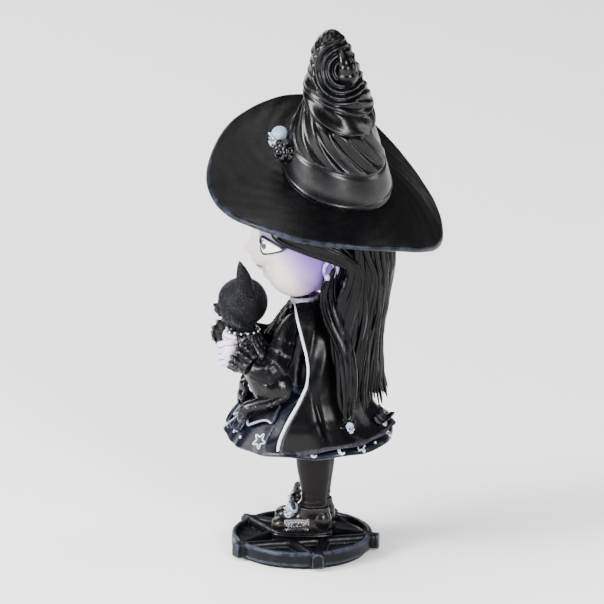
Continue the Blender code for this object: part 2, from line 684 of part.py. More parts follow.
def build_hair(head, ears):
    def wide(z):
        return math.radians(read(((150, 66), (125, 66), (112, 66), (100, 66), (88, 66), (70, 62),
                                  (56, 58)), z))

    def tip(s):
        return 57.0 + 4.0 * s * s + 1.6 * math.cos(15 * s)

    def at(thick):
        def point(s, v):
            low = tip(s)
            z = 131.0 + (low - 131.0) * v
            return hair_sheet(s * wide(z), z, thick * (1 - 0.45 * max(0, v - 0.7) / 0.3))
        return point

    back = slab("hair_back", at(0.0), at(4.3), [-1 + 2 * i / 28 for i in range(29)],
                [0, 0.18, 0.4, 0.6, 0.8, 1.0], BLACK)

    def crown(r):
        def point(a, z):
            s = head_scale(min(z, 146))
            return ((HEAD_RADII[0] * s + r) * math.sin(a), 4.0 + (HEAD_RADII[1] * s + r) * math.cos(a), z)
        return point

    angles = [math.radians(-118 + 236 * i / 26) for i in range(27)]
    cap = slab("hair_cap", lambda a, z: crown(4.4)(a, 124.6 + (146.5 - 124.6) * z),
               lambda a, z: crown(0.4)(a, 124.6 + (146.5 - 124.6) * z), angles, [0, 0.25, 0.5, 0.75, 1.0],
               BLACK)
    apply_boolean(cap, below_brim(UNDER_BRIM), "DIFFERENCE")
    keep_largest(cap)
    for side, sign in (("left", 1), ("right", -1)):
        lock = tube(f"{side}_hair_lock",
                    [(sign * 19.4, 15.0, 117.0, 2.4), (sign * 19.6, 12.6, 110.0, 3.2),
                     (sign * 20.0, 12.4, 103.0, 3.5), (sign * 21.2, 14.2, 96.0, 3.6),
                     (sign * 22.4, 17.0, 88.0, 3.6), (sign * 23.2, 18.2, 80.0, 3.5),
                     (sign * 24.0, 18.6, 70.0, 3.2), (sign * 25.0, 18.8, 63.0, 2.2),
                     (sign * 25.8, 19.0, 59.5, 0.8)], BLACK, 10, 2)
        carve(lock, [back, head, cap, *ears], 0.3)
    apply_boolean(back, below_brim(UNDER_BRIM), "DIFFERENCE")
    carve(back, [head, cap], 0.3)
    fringe = slab("hair_fringe", lambda a, z: head_point(a, z, 2.6), lambda a, z: head_point(a, z, 0.4),
                  [math.radians(-58 + 116 * i / 16) for i in range(17)], [131, 135, 140, 146], BLACK)
    apply_boolean(fringe, below_brim(UNDER_BRIM), "DIFFERENCE")
    keep_largest(fringe)
    carve(fringe, [cap, head], 0.3)


# ---------------------------------------------------------------- hat

CONE = ((0.8, 13.4, 144.6, 20.3, 1.0), (1.8, 13.2, 149.5, 19.6, 0.85), (2.6, 12.6, 156.0, 17.8, 0.6),
        (3.8, 12.2, 163.0, 15.7, 0.4), (4.8, 12.8, 168.5, 13.9, 0.3), (5.3, 13.3, 173.0, 12.4, 0.27),
        (6.0, 13.6, 178.5, 11.3, 0.18), (6.8, 13.4, 184.0, 10.1, 0.12), (7.4, 12.8, 189.5, 8.7, 0.08),
        (7.9, 12.1, 194.5, 7.5, 0.04), (8.3, 11.8, 200.0, 4.8, 0.0), (8.4, 11.8, 203.4, 1.4, 0.0))


def cone_ring(t, extra, count, lift=0.0):
    """A ring of the cone; t runs from 0 at the brim to 1 at the tip."""
    place = t * (len(CONE) - 1)
    i = min(int(place), len(CONE) - 2)
    f = place - i
    x, y, z, r, tilt = [a + (b - a) * f for a, b in zip(CONE[i], CONE[i + 1])]
    normal = (Vector((0, 0, 1)) * (1 - tilt) + BRIM_NORMAL * tilt).normalized()
    u = Vector((0, 1, 0)).cross(normal).normalized()
    v = normal.cross(u)
    fold = 0.0 if t < 0.2 else min(1.0, (t - 0.2) / 0.2)
    ring = []
    for k in range(count):
        a = 2 * math.pi * k / count
        rr = r * (1 + 0.06 * fold * math.cos(3 * a + 14 * t)) + extra
        ring.append(Vector((x, y, z)) + normal * lift + u * (rr * math.cos(a)) + v * (rr * math.sin(a)))
    return ring


def build_hat():
    count = 36
    rings = []
    under, over = -BRIM_THICKNESS, 0.0
    for r, lift in ((12, under), (22, under), (32, under), (BRIM_RADIUS - 1, under),
                    (BRIM_RADIUS, under / 2), (BRIM_RADIUS - 1, over), (32, over), (22, over), (12, over)):
        rings.append([brim_at(r, 2 * math.pi * k / count, lift) for k in range(count)])
    brim = loft("hat_brim", rings, BLACK)
    levels = [0.0, 0.1, 0.2, 0.3, 0.36, 0.42, 0.5, 0.58, 0.66, 0.74, 0.82, 0.9, 0.96, 1.0]
    cone = loft("hat_cone", [cone_ring(t, 0.0, 20, -1.0 if t == 0 else 0.0) for t in levels], BLACK)
    nib = tube("nib", [(9.0, 14.0, 199.5, 3.0), (10.5, 17.0, 198.4, 3.2), (12.6, 18.6, 194.0, 2.8),
                       (13.8, 18.6, 189.0, 2.0), (14.0, 17.6, 185.6, 0.9)], BLACK, 8, 2)
    join(cone, nib)
    carve(cone, [brim], 0.25)
    band_levels = [0.05, 0.24]
    count = 20
    band_outer = [cone_ring(t, 1.5, count) for t in band_levels]
    band_inner = [cone_ring(t, 0.35, count) for t in band_levels]
    band = slab("hat_band", lambda k, j: band_outer[j][k], lambda k, j: band_inner[j][k],
                list(range(count)), [0, 1], SATIN, True)
    carve(band, [brim, cone], 0.2)
    skull = ball("hat_skull", (4.6, -8.0, 160.2), (3.4, 3.0, 4.6), SILVER, 14, 9,
                 lambda p: (p.x * (1 - 0.25 * max(0, -p.z)), p.y, p.z))
    rosette = ball("hat_rosette", (9.6, -5.4, 156.4), (3.2, 2.8, 3.2), SATIN, 14, 8)
    bead = ball("hat_bead", (11.4, -8.2, 156.8), (1.6, 1.6, 1.6), BLACK, 12, 8)
    carve(skull, [cone, band, brim])
    carve(rosette, [cone, band, brim, skull])
    carve(bead, [rosette], 0.15)


# ---------------------------------------------------------------- assembly

build_base()
for side, sign in (("left", 1), ("right", -1)):
    build_foot(side, sign)
cat = build_cat()
cape, pipings = build_cape()
skirt, over = build_skirt(cat)
torso = build_torso(cat, skirt)
build_arms(cat, torso, [cape, *pipings], skirt, over)
build_neck([cape, *pipings])
head, ears = build_head()
build_hair(head, ears)
build_hat()
ornament = ball("cape_ornament", (20.2, 20.0, 54.2), (2.2, 2.2, 2.6), SILVER, 12, 8)
carve(ornament, [cape])
for obj in bpy.data.objects:
    obj.data.transform(Matrix.Scale(MM, 4))
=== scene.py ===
import json
import math

import bpy
import numpy as np
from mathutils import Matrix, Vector

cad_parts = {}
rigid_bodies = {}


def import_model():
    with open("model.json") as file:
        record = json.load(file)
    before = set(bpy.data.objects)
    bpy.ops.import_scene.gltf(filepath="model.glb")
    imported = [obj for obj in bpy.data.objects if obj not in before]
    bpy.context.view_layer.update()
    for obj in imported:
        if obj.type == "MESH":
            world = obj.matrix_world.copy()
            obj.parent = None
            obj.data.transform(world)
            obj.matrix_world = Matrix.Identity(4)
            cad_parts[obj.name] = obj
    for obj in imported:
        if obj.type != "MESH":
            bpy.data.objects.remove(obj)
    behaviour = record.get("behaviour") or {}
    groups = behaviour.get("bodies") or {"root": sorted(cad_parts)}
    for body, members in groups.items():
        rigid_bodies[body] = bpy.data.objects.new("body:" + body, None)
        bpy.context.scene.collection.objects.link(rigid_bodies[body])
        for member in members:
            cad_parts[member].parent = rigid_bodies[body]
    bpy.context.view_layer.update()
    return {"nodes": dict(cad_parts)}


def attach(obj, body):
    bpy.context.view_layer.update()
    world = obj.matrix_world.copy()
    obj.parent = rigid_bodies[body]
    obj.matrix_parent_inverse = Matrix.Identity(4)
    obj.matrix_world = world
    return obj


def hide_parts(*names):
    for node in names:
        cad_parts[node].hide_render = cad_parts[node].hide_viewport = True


for old in list(bpy.data.objects):
    bpy.data.objects.remove(old, do_unlink=True)

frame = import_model()
scene = bpy.context.scene
print("frame loaded:", len(frame["nodes"]), "nodes")

# The witch faces -Y with her left side at +X. Shapes are worked out in millimetres and
# turned into metres when a mesh is made.
mm = 0.001


# small maths helpers
def vec(*v):
    return np.array(v, float)


def unit(v):
    return v / np.maximum(np.linalg.norm(v, axis=-1, keepdims=True), 1e-9)


def smoothStep(a, b, x):
    t = np.clip((x - a) / (b - a), 0, 1)
    return t * t * (3 - 2 * t)


def bump(x, centre, width):
    return np.exp(-((x - centre) / width) ** 2)


def saw(x, drop=0.2):
    # climbs slowly and falls quickly once a turn, like cloth lapping over itself
    p = np.mod(x, 1.0)
    return np.where(p < 1 - drop, smoothStep(0, 1 - drop, p), 1 - smoothStep(1 - drop, 1, p))


def rowOf(*spread, **ends):
    # evenly spaced values as one row of a grid
    return np.linspace(*spread, **ends)[None, :]


def columnOf(*spread, **ends):
    # evenly spaced values as one column of a grid
    return np.linspace(*spread, **ends)[:, None]


def tableAt(table, z):
    pairs = sorted(table)
    return np.interp(z, [p[0] for p in pairs], [p[1] for p in pairs])


def wobble(x, seed, waves=4):
    # a smooth made-up line, the same each run
    rng = np.random.default_rng(seed)
    out = np.zeros_like(np.asarray(x, float))
    for i in range(1, waves + 1):
        out = out + np.sin(np.asarray(x) * i * rng.uniform(0.7, 1.3) + rng.uniform(0, 6.3)) / i
    return out


def curveThrough(points, count):
    # a Catmull-Rom line with any number of values per point
    pts = np.array(points, float)
    ext = np.vstack([2 * pts[0] - pts[1], pts, 2 * pts[-1] - pts[-2]])
    t = np.linspace(0, len(pts) - 1 - 1e-9, count)
    i = t.astype(int)
    f = (t - i)[:, None]
    p0, p1, p2, p3 = ext[i], ext[i + 1], ext[i + 2], ext[i + 3]
    return 0.5 * (2 * p1 + (p2 - p0) * f + (2 * p0 - 5 * p1 + 4 * p2 - p3) * f ** 2
                  + (3 * p1 - p0 - 3 * p2 + p3) * f ** 3)


# shapes as (points, faces) pairs
def gridShape(points, closedU=False, capStart=False, capEnd=False):
    # points is [along, around, 3]; each cap is a fan to the ring's middle
    nv, nu = points.shape[:2]
    verts = points.reshape(-1, 3)
    i = np.arange(nu if closedU else nu - 1)
    n = (i + 1) % nu
    j = np.arange(nv - 1)[:, None] * nu
    quads = np.stack([j + i, j + n, j + nu + n, j + nu + i], -1).reshape(-1, 4)
    faces = quads.tolist()
    extra = []
    for wanted, ring, flip in ((capStart, 0, True), (capEnd, nv - 1, False)):
        if wanted:
            centre = points[ring].mean(0)
            index = len(verts) + len(extra)
            extra.append(centre)
            k = ring * nu
            for a in range(nu):
                b = (a + 1) % nu
                faces.append([index, k + b, k + a] if flip else [index, k + a, k + b])
    if extra:
        verts = np.vstack([verts, extra])
    return verts, faces


def slabShape(outer, inner, closedU=False):
    # a wall between two grids of the same size
    nv, nu = outer.shape[:2]
    a, fa = gridShape(outer, closedU)
    b, fb = gridShape(inner, closedU)
    half = len(a)
    faces = fa + [[half + v for v in reversed(f)] for f in fb]
    last = (nv - 1) * nu
    for i in range(nu if closedU else nu - 1):
        n = (i + 1) % nu
        faces.append([n, i, half + i, half + n])
        faces.append([last + i, last + n, half + last + n, half + last + i])
    if not closedU:
        for j in range(nv - 1):
            p, q = j * nu, (j + 1) * nu
            faces.append([p, q, half + q, half + p])
            p, q = p + nu - 1, q + nu - 1
            faces.append([q, p, half + p, half + q])
    return np.vstack([a, b]), faces


def tubeShape(path, radii, around=16, flat=1.0, side=None, section=None, turn=0.0):
    # path is [n, 3]; section(angle, share along) scales the radius round the tube
    path = np.array(path, float)
    n = len(path)
    tangent = unit(np.gradient(path, axis=0))
    first = vec(*(side if side is not None else (0, 0, 1)))
    if abs(np.dot(first, tangent[0])) > 0.95:
        first = vec(1, 0, 0)
    sides = np.zeros_like(path)
    current = first
    for i in range(n):
        current = current if side is None else first
        current = unit(current - tangent[i] * np.dot(current, tangent[i]))
        sides[i] = current
    ups = np.cross(tangent, sides)
    a = rowOf(0, 2 * math.pi, around, endpoint=False)
    t = columnOf(0, 1, n)
    scale = np.array(radii, float).reshape(-1, 1) * (section(a, t) if section else np.ones((n, around)))
    points = (path[:, None] + sides[:, None] * (scale * np.cos(a + turn * t))[..., None]
              + ups[:, None] * (scale * flat * np.sin(a + turn * t))[..., None])
    return gridShape(points, True, True, True)


def roundEnds(radii, share=0.12):
    # closes a tube's ends like a fingertip
    t = np.linspace(0, 1, len(radii))
    lead = np.sqrt(np.clip(1 - (1 - np.clip(t / share, 0, 1)) ** 2, 0.0009, 1))
    tail = np.sqrt(np.clip(1 - (1 - np.clip((1 - t) / share, 0, 1)) ** 2, 0.0009, 1))
    return np.array(radii) * lead * tail


def ballShape(centre, radii, around=32, levels=20, shape=None):
    t = columnOf(0.0005, math.pi - 0.0005, levels)
    a = rowOf(0, 2 * math.pi, around, endpoint=False)
    p = np.stack([np.sin(t) * np.cos(a), np.sin(t) * np.sin(a), np.cos(t) + 0 * a], -1)
    if shape:
        p = shape(p)
    return gridShape(vec(*centre) + p * vec(*radii), True, True, True)


def joined(shapes):
    verts, faces, start = [], [], 0
    for v, f in shapes:
        verts.append(v)
        faces += [[start + i for i in face] for face in f]
        start += len(v)
    return np.vstack(verts), faces


def placed(shape, centre, xAxis, yAxis, zAxis, size=1.0):
    v, f = shape
    m = np.stack([unit(vec(*xAxis)), unit(vec(*yAxis)), unit(vec(*zAxis))])
    return vec(*centre) + (v * size) @ m, f


def facingOut(shape):
    v, faces = shape
    tri = np.array([[f[0], f[i], f[i + 1]] for f in faces for i in range(1, len(f) - 1)])
    volume = np.einsum("ij,ij->i", v[tri[:, 0]], np.cross(v[tri[:, 1]], v[tri[:, 2]])).sum()
    return (v, faces) if volume > 0 else (v, [list(reversed(f)) for f in faces])


def meshPiece(name, shapes):
    # each closed shape is turned to face outwards before they share one object
    shapes = [facingOut(s) for s in (shapes if isinstance(shapes, list) else [shapes])]
    v, f = joined(shapes)
    mesh = bpy.data.meshes.new(name)
    mesh.from_pydata((v * mm).tolist(), [], f)
    mesh.validate()
    mesh.update()
    mesh.shade_smooth()
    obj = bpy.data.objects.new(name, mesh)
    scene.collection.objects.link(obj)
    return obj


def settled(obj):
    # bakes the modifiers into a plain mesh
    graph = bpy.context.evaluated_depsgraph_get()
    graph.update()
    mesh = bpy.data.meshes.new_from_object(obj.evaluated_get(graph))
    obj.modifiers.clear()
    obj.data = mesh
    mesh.shade_smooth()
    return obj


def fused(obj, voxel, smooth=4, factor=0.5):
    # melts overlapping shapes into one cast surface
    melt = obj.modifiers.new("melt", "REMESH")
    melt.mode = "VOXEL"
    melt.voxel_size = voxel * mm
    soften = obj.modifiers.new("soften", "SMOOTH")
    soften.iterations = smooth
    soften.factor = factor
    return settled(obj)


def pointsOf(obj):
    co = np.zeros(len(obj.data.vertices) * 3, np.float32)
    obj.data.vertices.foreach_get("co", co)
    return co.reshape(-1, 3).astype(float) / mm


def setPoints(obj, co):
    obj.data.vertices.foreach_set("co", (co * mm).astype(np.float32).ravel())
    obj.data.update()


def normalsOf(obj):
    n = np.zeros(len(obj.data.vertices) * 3, np.float32)
    obj.data.vertex_normals.foreach_get("vector", n)
    return n.reshape(-1, 3).astype(float)


def storeValue(obj, name, values):
    attribute = obj.data.attributes.get(name) or obj.data.attributes.new(name, "FLOAT", "POINT")
    attribute.data.foreach_set("value", np.asarray(values, np.float32))


def edgesOf(obj):
    e = np.zeros(len(obj.data.edges) * 2, np.int32)
    obj.data.edges.foreach_get("vertices", e)
    return e.reshape(-1, 2)


def spreadOver(values, edges, count, times):
    # averages a value with its neighbours
    values = values.copy()
    degree = np.bincount(edges.ravel(), minlength=count).reshape(-1, *([1] * (values.ndim - 1)))
    for _ in range(times):
        total = np.zeros_like(values)
        np.add.at(total, edges[:, 0], values[edges[:, 1]])
        np.add.at(total, edges[:, 1], values[edges[:, 0]])
        values = 0.5 * values + 0.5 * total / np.maximum(degree, 1)
    return values


def evenRidge(obj, value):
    storeValue(obj, "ridge", np.full(len(obj.data.vertices), value))


def markRidges(obj, reach=6, gain=1.0):
    # "ridge" is high on raised edges and "hollow" in creases, for dry-brushing and for painted shade in the
    # creases
    co, edges = pointsOf(obj), edgesOf(obj)
    count = len(co)
    bent = np.zeros(count)
    for times, weight in ((max(2, reach // 3), 0.6), (reach, 0.4)):
        away = co - spreadOver(co, edges, count, times)
        height = np.einsum("ij,ij->i", away, normalsOf(obj))
        scale = np.percentile(np.abs(height), 92) + 1e-6
        bent += weight * height / scale
    bent = spreadOver(bent, edges, count, 1) * gain
    storeValue(obj, "ridge", np.clip(bent, 0, 1.5))
    storeValue(obj, "hollow", np.clip(-bent, 0, 1.5))


def show(obj, body, slot, look, *nodes):
    obj.data.materials.clear()
    obj.data.materials.append(look)
    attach(obj, body)
    if nodes:
        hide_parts(*nodes)
    return obj


def finished(obj, reach, *place):
    markRidges(obj, reach)
    return show(obj, *place)


# materials
def newGroup(name, inputs, outputs):
    group = bpy.data.node_groups.new(name, "ShaderNodeTree")
    for socketName, kind, value in inputs:
        made = group.interface.new_socket(name=socketName, in_out="INPUT", socket_type=kind)
        made.default_value = value
    for socketName, kind in outputs:
        group.interface.new_socket(name=socketName, in_out="OUTPUT", socket_type=kind)
    start = group.nodes.new("NodeGroupInput")
    end = group.nodes.new("NodeGroupOutput")
    return group, start, end


def mathNode(tree, operation, a, b=None, clamp=False):
    node = tree.nodes.new("ShaderNodeMath")
    node.operation = operation
    node.use_clamp = clamp
    for index, value in enumerate((a, b)):
        if value is None:
            continue
        if isinstance(value, (int, float)):
            node.inputs[index].default_value = value
        else:
            tree.links.new(value, node.inputs[index])
    return node.outputs[0]


def mixColour(tree, factor, a, b, blend="MIX"):
    node = tree.nodes.new("ShaderNodeMix")
    node.data_type = "RGBA"
    node.blend_type = blend
    for socket, value in ((node.inputs["Factor"], factor), (node.inputs[6], a), (node.inputs[7], b)):
        if isinstance(value, (int, float)):
            socket.default_value = value
        elif isinstance(value, tuple):
            socket.default_value = (*value, 1) if len(value) == 3 else value
        else:
            tree.links.new(value, socket)
    return node.outputs[2]


def mapRange(tree, value, low, high, toLow=0.0, toHigh=1.0):
    node = tree.nodes.new("ShaderNodeMapRange")
    node.interpolation_type = "SMOOTHSTEP"
    for socket, v in zip(node.inputs[:5], (value, low, high, toLow, toHigh)):
        if isinstance(v, (int, float)):
            socket.default_value = v
        else:
            tree.links.new(v, socket)
    return node.outputs[0]


def noiseOf(tree, scale, detail=4.0, rough=0.55, stretch=None):
    place = tree.nodes.new("ShaderNodeTexCoord").outputs["Object"]
    if stretch:
        turn = tree.nodes.new("ShaderNodeMapping")
        turn.inputs["Scale"].default_value = stretch
        tree.links.new(place, turn.inputs["Vector"])
        place = turn.outputs[0]
    node = tree.nodes.new("ShaderNodeTexNoise")
    tree.links.new(place, node.inputs["Vector"])
    if isinstance(scale, (int, float)):
        node.inputs["Scale"].default_value = scale
    else:
        tree.links.new(scale, node.inputs["Scale"])
    node.inputs["Detail"].default_value = detail
    node.inputs["Roughness"].default_value = rough
    return node.outputs["Fac"]


def attributeOf(tree, name):
    node = tree.nodes.new("ShaderNodeAttribute")
    node.attribute_name = name
    return node.outputs["Fac"]


def paintedResinGroup():
    # hand-painted cast resin: a base coat, painted shade darkening the creases, and dry-brushed ridges
    group, start, end = newGroup("paintedResin", [
        ("Base", "NodeSocketColor", (0.02, 0.02, 0.025, 1)),
        ("Brushed", "NodeSocketColor", (0.2, 0.24, 0.32, 1)),
        ("Brush Amount", "NodeSocketFloat", 0.6), ("Brush Start", "NodeSocketFloat", 0.35),
        ("Grain Size", "NodeSocketFloat", 900.0), ("Shine Low", "NodeSocketFloat", 0.22),
        ("Shine High", "NodeSocketFloat", 0.42)],
        [("Colour", "NodeSocketColor"), ("Roughness", "NodeSocketFloat"), ("Height", "NodeSocketFloat"),
         ("Brush", "NodeSocketFloat")])
    patch = noiseOf(group, 260.0, 5.0, 0.6)
    fine = noiseOf(group, start.outputs["Grain Size"], 3.0, 0.6)
    cloud = noiseOf(group, 70.0, 3.0)
    ridge = attributeOf(group, "ridge")
    hollow = attributeOf(group, "hollow")
    uneven = mathNode(group, "MULTIPLY", mathNode(group, "SUBTRACT", patch, 0.5), 0.9)
    broken = mathNode(group, "ADD", ridge, uneven)
    limit = mathNode(group, "ADD", start.outputs["Brush Start"], 0.55)
    mask = mapRange(group, broken, start.outputs["Brush Start"], limit)
    speck = mapRange(group, fine, 0.3, 0.62, 0.35, 1.0)
    mask = mathNode(group, "MULTIPLY", mask, speck)
    mask = mathNode(group, "MULTIPLY", mask, start.outputs["Brush Amount"], True)
    shade = mapRange(group, cloud, 0.3, 0.7, 0.72, 1.3)
    tone = mixColour(group, 1.0, start.outputs["Base"], shade, "MULTIPLY")
    # painted shade: creases are darkened by the hollow value
    dark = mapRange(group, hollow, 0.15, 1.1, 1.0, 0.35)
    tone = mixColour(group, 1.0, tone, dark, "MULTIPLY")
    tone = mixColour(group, mask, tone, start.outputs["Brushed"])
    shine = mapRange(group, patch, 0.3, 0.72, start.outputs["Shine Low"], start.outputs["Shine High"])
    shine = mathNode(group, "ADD", shine, mathNode(group, "MULTIPLY", mask, 0.14), True)
    height = mathNode(group, "ADD", mathNode(group, "MULTIPLY", fine, 0.45),
                      mathNode(group, "MULTIPLY", patch, 0.55))
    for name, value in (("Colour", tone), ("Roughness", shine), ("Height", height), ("Brush", mask)):
        group.links.new(value, end.inputs[name])
    return group


paintedResin = paintedResinGroup()


def resinLook(name, base, brushed, amount=0.6, startAt=0.35, shine=(0.22, 0.42), bumpBy=0.03, coat=0.0,
              grain=900.0, metallic=0.0, extra=None):
    mat = bpy.data.materials.new(name)
    mat.use_nodes = True
    tree = mat.node_tree
    shader = tree.nodes["Principled BSDF"]
    coating = tree.nodes.new("ShaderNodeGroup")
    coating.node_tree = paintedResin
    coating.inputs["Base"].default_value = (*base, 1)
    coating.inputs["Brushed"].default_value = (*brushed, 1)
    coating.inputs["Brush Amount"].default_value = amount
    coating.inputs["Brush Start"].default_value = startAt
    coating.inputs["Grain Size"].default_value = grain
    coating.inputs["Shine Low"].default_value = shine[0]
    coating.inputs["Shine High"].default_value = shine[1]
    colour, height = coating.outputs["Colour"], coating.outputs["Height"]
    if extra:
        colour, height = extra(tree, colour, height)
    rise = tree.nodes.new("ShaderNodeBump")
    rise.inputs["Strength"].default_value = 0.5
    rise.inputs["Distance"].default_value = bumpBy * mm * 4
    tree.links.new(height, rise.inputs["Height"])
    tree.links.new(colour, shader.inputs["Base Color"])
    tree.links.new(coating.outputs["Roughness"], shader.inputs["Roughness"])
    tree.links.new(rise.outputs["Normal"], shader.inputs["Normal"])
    shader.inputs["Metallic"].default_value = metallic
    shader.inputs["Specular IOR Level"].default_value = 0.22
    shader.inputs["Coat Weight"].default_value = coat
    shader.inputs["Coat Roughness"].default_value = 0.12
    return mat


def stretchedGrain(amount, stretch, scale=300.0):
    # fine lines that run one way, as in combed hair or brushed cloth
    def add(tree, colour, height):
        lines = noiseOf(tree, scale, 4.0, 0.6, stretch)
        shade = mapRange(tree, lines, 0.35, 0.7, 1 - amount, 1 + amount)
        colour = mixColour(tree, 1.0, colour, shade, "MULTIPLY")
        height = mathNode(tree, "ADD", height, mathNode(tree, "MULTIPLY", lines, 1.2))
        return colour, height
    return add


def speckled(colourOf, scale, low, high, depth=1.2):
    # tiny raised flecks, as stippled fur
    def add(tree, colour, height):
        spots = tree.nodes.new("ShaderNodeTexVoronoi")
        tree.links.new(tree.nodes.new("ShaderNodeTexCoord").outputs["Object"], spots.inputs["Vector"])
        spots.inputs["Scale"].default_value = scale
        near = mapRange(tree, spots.outputs["Distance"], high, low)
        near = mathNode(tree, "MULTIPLY", near, mapRange(tree, noiseOf(tree, 180.0), 0.35, 0.65))
        colour = mixColour(tree, near, colour, colourOf)
        height = mathNode(tree, "ADD", height, mathNode(tree, "MULTIPLY", near, depth))
        return colour, height
    return add


looks = {
    "hatFelt": resinLook("hatFelt", (0.0014, 0.0014, 0.0018), (0.05, 0.062, 0.1), 0.7, 0.5, (0.3, 0.44),
                         0.05, extra=stretchedGrain(0.12, (1.0, 2.4, 1.0), 500)),
    "hatCloth": resinLook("hatCloth", (0.001, 0.001, 0.0013), (0.06, 0.064, 0.08), 0.35, 0.7, (0.2, 0.32),
                          0.04),
    "hatSatin": resinLook("hatSatin", (0.0024, 0.0024, 0.003), (0.06, 0.064, 0.08), 0.25, 0.75,
                          (0.26, 0.34), 0.012, grain=1500),
    "blackGloss": resinLook("blackGloss", (0.002, 0.002, 0.0026), (0.10, 0.11, 0.15), 0.35, 0.65,
                            (0.12, 0.24), 0.03, coat=0.1),
    "blackSatin": resinLook("blackSatin", (0.0028, 0.003, 0.004), (0.07, 0.08, 0.12), 0.45, 0.55,
                            (0.24, 0.38), 0.04),
    "navySkirt": resinLook("navySkirt", (0.0026, 0.0034, 0.0075), (0.10, 0.125, 0.2), 0.55, 0.55,
                           (0.24, 0.38), 0.04),
    "hairBlack": resinLook("hairBlack", (0.001, 0.001, 0.0016), (0.10, 0.115, 0.17), 0.45, 0.7,
                           (0.12, 0.24), 0.04, extra=stretchedGrain(0.25, (1.0, 1.0, 0.08), 1500)),
    "silverPaint": resinLook("silverPaint", (0.3, 0.36, 0.46), (0.66, 0.74, 0.85), 0.8, 0.15, (0.35, 0.5),
                             0.08, metallic=0.15),
    "whitePiping": resinLook("whitePiping", (0.5, 0.57, 0.66), (0.82, 0.87, 0.93), 0.6, 0.3, (0.4, 0.55),
                             0.06),
    "greySatin": resinLook("greySatin", (0.2, 0.2, 0.2), (0.5, 0.49, 0.48), 0.7, 0.25, (0.34, 0.5), 0.08),
    "catFur": resinLook("catFur", (0.002, 0.002, 0.0028), (0.05, 0.054, 0.07), 0.3, 0.55, (0.4, 0.58), 0.16,
                        grain=3600, extra=speckled((0.10, 0.105, 0.13), 3200.0, 0.12, 0.34)),
    "catGloss": resinLook("catGloss", (0.0024, 0.0024, 0.003), (0.15, 0.15, 0.17), 0.4, 0.62,
                          (0.18, 0.32), 0.05),
    "baseStone": resinLook("baseStone", (0.0016, 0.0019, 0.003), (0.05, 0.06, 0.095), 0.6, 0.5,
                           (0.28, 0.46), 0.07),
    "earViolet": resinLook("earViolet", (0.10, 0.055, 0.22), (0.44, 0.37, 0.58), 0.8, 0.25, (0.3, 0.42),
                           0.02),
    "violetPaint": resinLook("violetPaint", (0.16, 0.09, 0.32), (0.5, 0.42, 0.66), 0.7, 0.3, (0.2, 0.3),
                             0.02, coat=0.3),
    "lilacSkin": resinLook("lilacSkin", (0.4, 0.3, 0.52), (0.74, 0.66, 0.78), 0.9, 0.12, (0.34, 0.46),
                           0.02),
    "felt": resinLook("felt", (0.012, 0.012, 0.012), (0.03, 0.03, 0.03), 0.6, 0.2, (0.9, 0.98), 0.5,
                      grain=3500),
    "steel": resinLook("steel", (0.3, 0.3, 0.32), (0.5, 0.5, 0.52), 0.5, 0.3, (0.22, 0.34), 0.03,
                       metallic=1.0),
    "plugResin": resinLook("plugResin", (0.4, 0.4, 0.4), (0.55, 0.55, 0.55), 0.4, 0.3, (0.5, 0.6), 0.08),
}
print("materials made:", len(looks))


def skinLook():
    # cream face that deepens to lilac and violet toward the ears and hairline; the violet mask mixes the
    # skin's own airbrushed violet with painted shade under the hat brim and under the chin
    mat = bpy.data.materials.new("faceSkin")
    mat.use_nodes = True
    tree = mat.node_tree
    shader = tree.nodes["Principled BSDF"]
    violet = attributeOf(tree, "violet")
    mottle = noiseOf(tree, 130.0, 4.0)
    uneven = mathNode(tree, "MULTIPLY", mathNode(tree, "SUBTRACT", mottle, 0.5), 0.22)
    amount = mathNode(tree, "ADD", violet, uneven)
    ramp = tree.nodes.new("ShaderNodeValToRGB")
    ramp.color_ramp.elements[0].position = 0.08
    ramp.color_ramp.elements[0].color = (0.50, 0.435, 0.425, 1)
    ramp.color_ramp.elements[1].position = 1.0
    ramp.color_ramp.elements[1].color = (0.10, 0.05, 0.25, 1)
    middle = ramp.color_ramp.elements.new(0.45)
    middle.color = (0.30, 0.205, 0.41, 1)
    tree.links.new(amount, ramp.inputs["Fac"])
    colour = ramp.outputs["Color"]
    # dark paint on the lips, and painted shade in the nostrils
    colour = mixColour(tree, attributeOf(tree, "lip"), colour, (0.03, 0.018, 0.03))
    colour = mixColour(tree, attributeOf(tree, "lid"), colour, (0.12, 0.1, 0.2))
    colour = mixColour(tree, attributeOf(tree, "blush"), colour, (0.62, 0.36, 0.46))
    tree.links.new(colour, shader.inputs["Base Color"])
    fine = noiseOf(tree, 1400.0, 3.0)
    tree.links.new(mapRange(tree, mottle, 0.3, 0.7, 0.34, 0.46), shader.inputs["Roughness"])
    rise = tree.nodes.new("ShaderNodeBump")
    rise.inputs["Strength"].default_value = 0.25
    rise.inputs["Distance"].default_value = 0.00005
    tree.links.new(fine, rise.inputs["Height"])
    tree.links.new(rise.outputs["Normal"], shader.inputs["Normal"])
    shader.inputs["Coat Weight"].default_value = 0.12
    return mat


